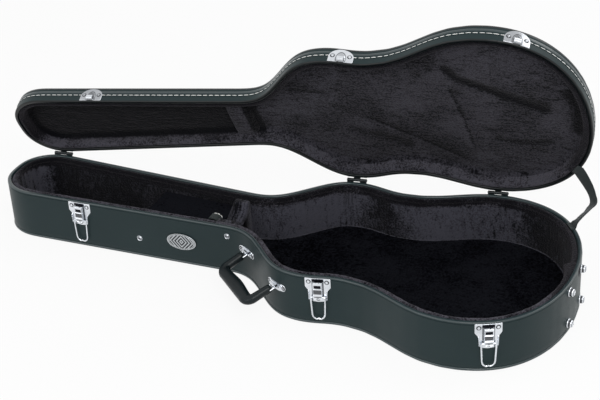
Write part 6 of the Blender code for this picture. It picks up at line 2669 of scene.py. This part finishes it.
        frame = self.seat("badge_plate", line) @ Matrix.Translation((0, 0, self.sizes.seam))
        skin, local = self.turned(profile, frame, 144, carved, (self.badge_length / 2, self.badge_width / 2))
        piece = skin.made("cast_badge", [self.finishes.pewter])
        give(piece, "relief", np.clip((local[:, :, 2] - thick * 0.6) / (thick * 0.4), 0, 1))
        self.keep(piece, Body.BASE, Slot.CHROME, "badge_plate")


@dataclass
class StayStrap(SubAssembly):
    """The slack webbing that stops the lid."""

    station: float = 1.0445
    width: float = 0.022
    thickness: float = 0.0014
    tuck: float = 0.0025
    leave_by: tuple[float, float, float] = (0.0249, 0.0459, -0.0059)
    arrive_by: tuple[float, float, float] = (0.0563, -0.0947, 0.0024)
    twist: float = -0.34
    rim_round: float = 0.0015
    edge_round: float = 0.0008
    steps: int = 48

    def build(self) -> None:
        """Builds the strap over both rims."""
        line = self.outline.fine
        x = self.outline.x_of(self.station)
        hinge_side = line.points[:, 1] > 0
        number = int(np.argmin(np.where(hinge_side, np.abs(line.points[:, 0] - x), 9)))
        place = Vector((*line.points[number], 0))
        base = line.frame_by(place, self.sizes.base_depth)
        lid = self.lid_place.turned @ line.frame_by(place, self.sizes.lid_rim)
        over = self.sizes.seam + self.thickness / 2
        low = base @ Vector((0, over, -self.rim_round))
        high = lid @ Vector((0, -over, -self.rim_round))
        along, up, out = base.to_3x3().col
        leave = low + out * self.leave_by[0] + up * self.leave_by[1] + along * self.leave_by[2]
        arrive = high + out * self.arrive_by[0] + up * self.arrive_by[1] + along * self.arrive_by[2]
        path = [base @ Vector((0, over, -self.sizes.wall - self.tuck))]
        path += list(interpolate_bezier(low, leave, arrive, high, self.steps))
        path.append(lid @ Vector((0, -over, -self.sizes.wall - self.tuck)))
        last = len(path) - 1
        half, thick = self.width / 2, self.thickness / 2
        near = half - self.edge_round
        under = [(-half, -thick * 0.4), (-near, -thick)] + [(half * s, -thick) for s in (-0.6, 0, 0.6)]
        under += [(near, -thick), (half, -thick * 0.4)]
        section = under + [(-x, -z) for x, z in under]
        rows, travel = [], [0.0]
        for i, point in enumerate(path):
            turned = min(max((i - 1) / (last - 2), 0), 1)
            run = (path[min(i + 1, last)] - path[max(i - 1, 0)]).normalized()
            across = base.to_3x3().col[0].lerp(lid.to_3x3().col[0], turned)
            across = (across - run * across.dot(run)).normalized()
            lean = self.twist * float(patch((turned, 0.0, 0.08), (turned, 0.5, 0.3)))
            across = Matrix.Rotation(lean, 3, run) @ across
            face = run.cross(across).normalized()
            rows.append([tuple(point + across * a + face * b) for a, b in section])
            if i:
                travel.append(travel[-1] + (point - path[i - 1]).length)
        skin = Skin()
        skin.rod(np.array(rows), np.array(travel), np.array([a + half for a, _ in section]))
        piece = skin.made("stay_strap", [self.finishes.webbing], sharp=60)
        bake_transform(piece)
        self.enter(piece, Slot.WEBBING, "lid_stay_strap")
        LOG.info("stay_strap: %.1f mm long", travel[-1] * 1000)


# Studio


@dataclass(frozen=True)
class SoftBox:
    """A square soft light."""

    name: str
    place: tuple[float, float, float]
    size: float
    power: float


@dataclass
class Studio:
    """The paper floor, the soft lights and the camera at the photograph's angle."""

    target: tuple[float, float, float] = (0.0259, 0.0517, 0.1038)
    azimuth: float = math.radians(25.07)
    elevation: float = math.radians(31.01)
    roll: float = math.radians(-3.267)
    distance: float = 2.6398
    lens: float = 88.64
    film: float = 36.0
    clip: tuple[float, float] = (0.05, 60.0)
    floor_size: float = 14.0
    floor_gap: float = 0.0003
    sky: float = 0.55
    boxes: tuple[SoftBox, ...] = (
        SoftBox("key", (1.5, -2.0, 2.6), 1.8, 46.0),
        SoftBox("rear", (1.7, 1.8, 2.2), 1.6, 18.0),
        SoftBox("front", (-1.2, -2.6, 1.4), 1.6, 14.0),
    )

    def build(self) -> None:
        """Builds the floor, the lights and the camera."""
        self.floor()
        self.world()
        for box in self.boxes:
            self.light(box)
        self.camera()
        bpy.context.scene.view_settings.view_transform = "Standard"

    def floor(self) -> None:
        """The floor under the case, which is no part of it."""
        half = self.floor_size / 2
        corners = ((-half, -half), (half, -half), (half, half), (-half, half))
        mesh = bpy.data.meshes.new("floor")
        mesh.from_pydata([(x, y, -self.floor_gap) for x, y in corners], [], [(0, 1, 2, 3)])
        mesh.materials.append(PaleFloor().made())
        made = bpy.data.objects.new("floor", mesh)
        bpy.context.scene.collection.objects.link(made)

    def world(self) -> None:
        """A white surround for the camera and reflections, and a dimmer one that lights the case."""
        made = bpy.data.worlds.new("studio")
        made.use_nodes = True
        desk = NodeDesk(made.node_tree)
        level = desk.spread("level", desk.seen_straight(), 0.0, 1.0, self.sky, 1.0)
        desk.fill(made.node_tree.nodes["Background"], {"Color": (1, 1, 1, 1), "Strength": level})
        bpy.context.scene.world = made

    def light(self, box: SoftBox) -> None:
        """One soft light, aimed at the case.

        Args:
            box: Its name, place, size and power.
        """
        data = bpy.data.lights.new(box.name, "AREA")
        data.shape, data.size, data.energy = "SQUARE", box.size, box.power
        made = bpy.data.objects.new(box.name, data)
        made.location = box.place
        aim = Vector(self.target) - Vector(box.place)
        made.rotation_euler = aim.to_track_quat("-Z", "Y").to_euler()
        bpy.context.scene.collection.objects.link(made)

    def camera(self) -> None:
        """The camera, from its bearing, height, roll and distance."""
        data = bpy.data.cameras.new("camera")
        data.lens, data.sensor_width = self.lens, self.film
        data.clip_start, data.clip_end = self.clip
        made = bpy.data.objects.new("camera", data)
        flat = math.cos(self.elevation)
        back = Vector((math.sin(self.azimuth) * flat, -math.cos(self.azimuth) * flat, math.sin(self.elevation)))
        right = Vector((math.cos(self.azimuth), math.sin(self.azimuth), 0))
        up = back.cross(right)
        rolled_right = right * math.cos(self.roll) + up * math.sin(self.roll)
        rolled_up = up * math.cos(self.roll) - right * math.sin(self.roll)
        made.matrix_world = frame_of(rolled_right, rolled_up, back, Vector(self.target) + back * self.distance)
        bpy.context.scene.collection.objects.link(made)
        bpy.context.scene.camera = made


def main() -> None:
    """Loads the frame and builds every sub-assembly."""
    logging.basicConfig(level=logging.INFO, format="%(name)s: %(message)s")
    for old in list(bpy.data.objects):
        bpy.data.objects.remove(old, do_unlink=True)
    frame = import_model()
    Studio().build()
    shared = (CaseOutline(), CaseSizes(), Finishes(), LidPlace.from_joints(frame["joints"]), frame["nodes"])
    for part in (BaseShell, BaseLining, NeckEnd, LidShell, LidLining, Hardware, SmallFittings, StayStrap):
        assembly = part(*shared)
        assembly.build()
        LOG.info("%s: %d new pieces", part.__name__, len(assembly.pieces))
    for jointed in (DrawLatches, CarryHandle):
        assembly = jointed(*shared, joints=frame["joints"])
        assembly.build()
        LOG.info("%s: %d new pieces", jointed.__name__, len(assembly.pieces))


if __name__ == "__main__":
    main()
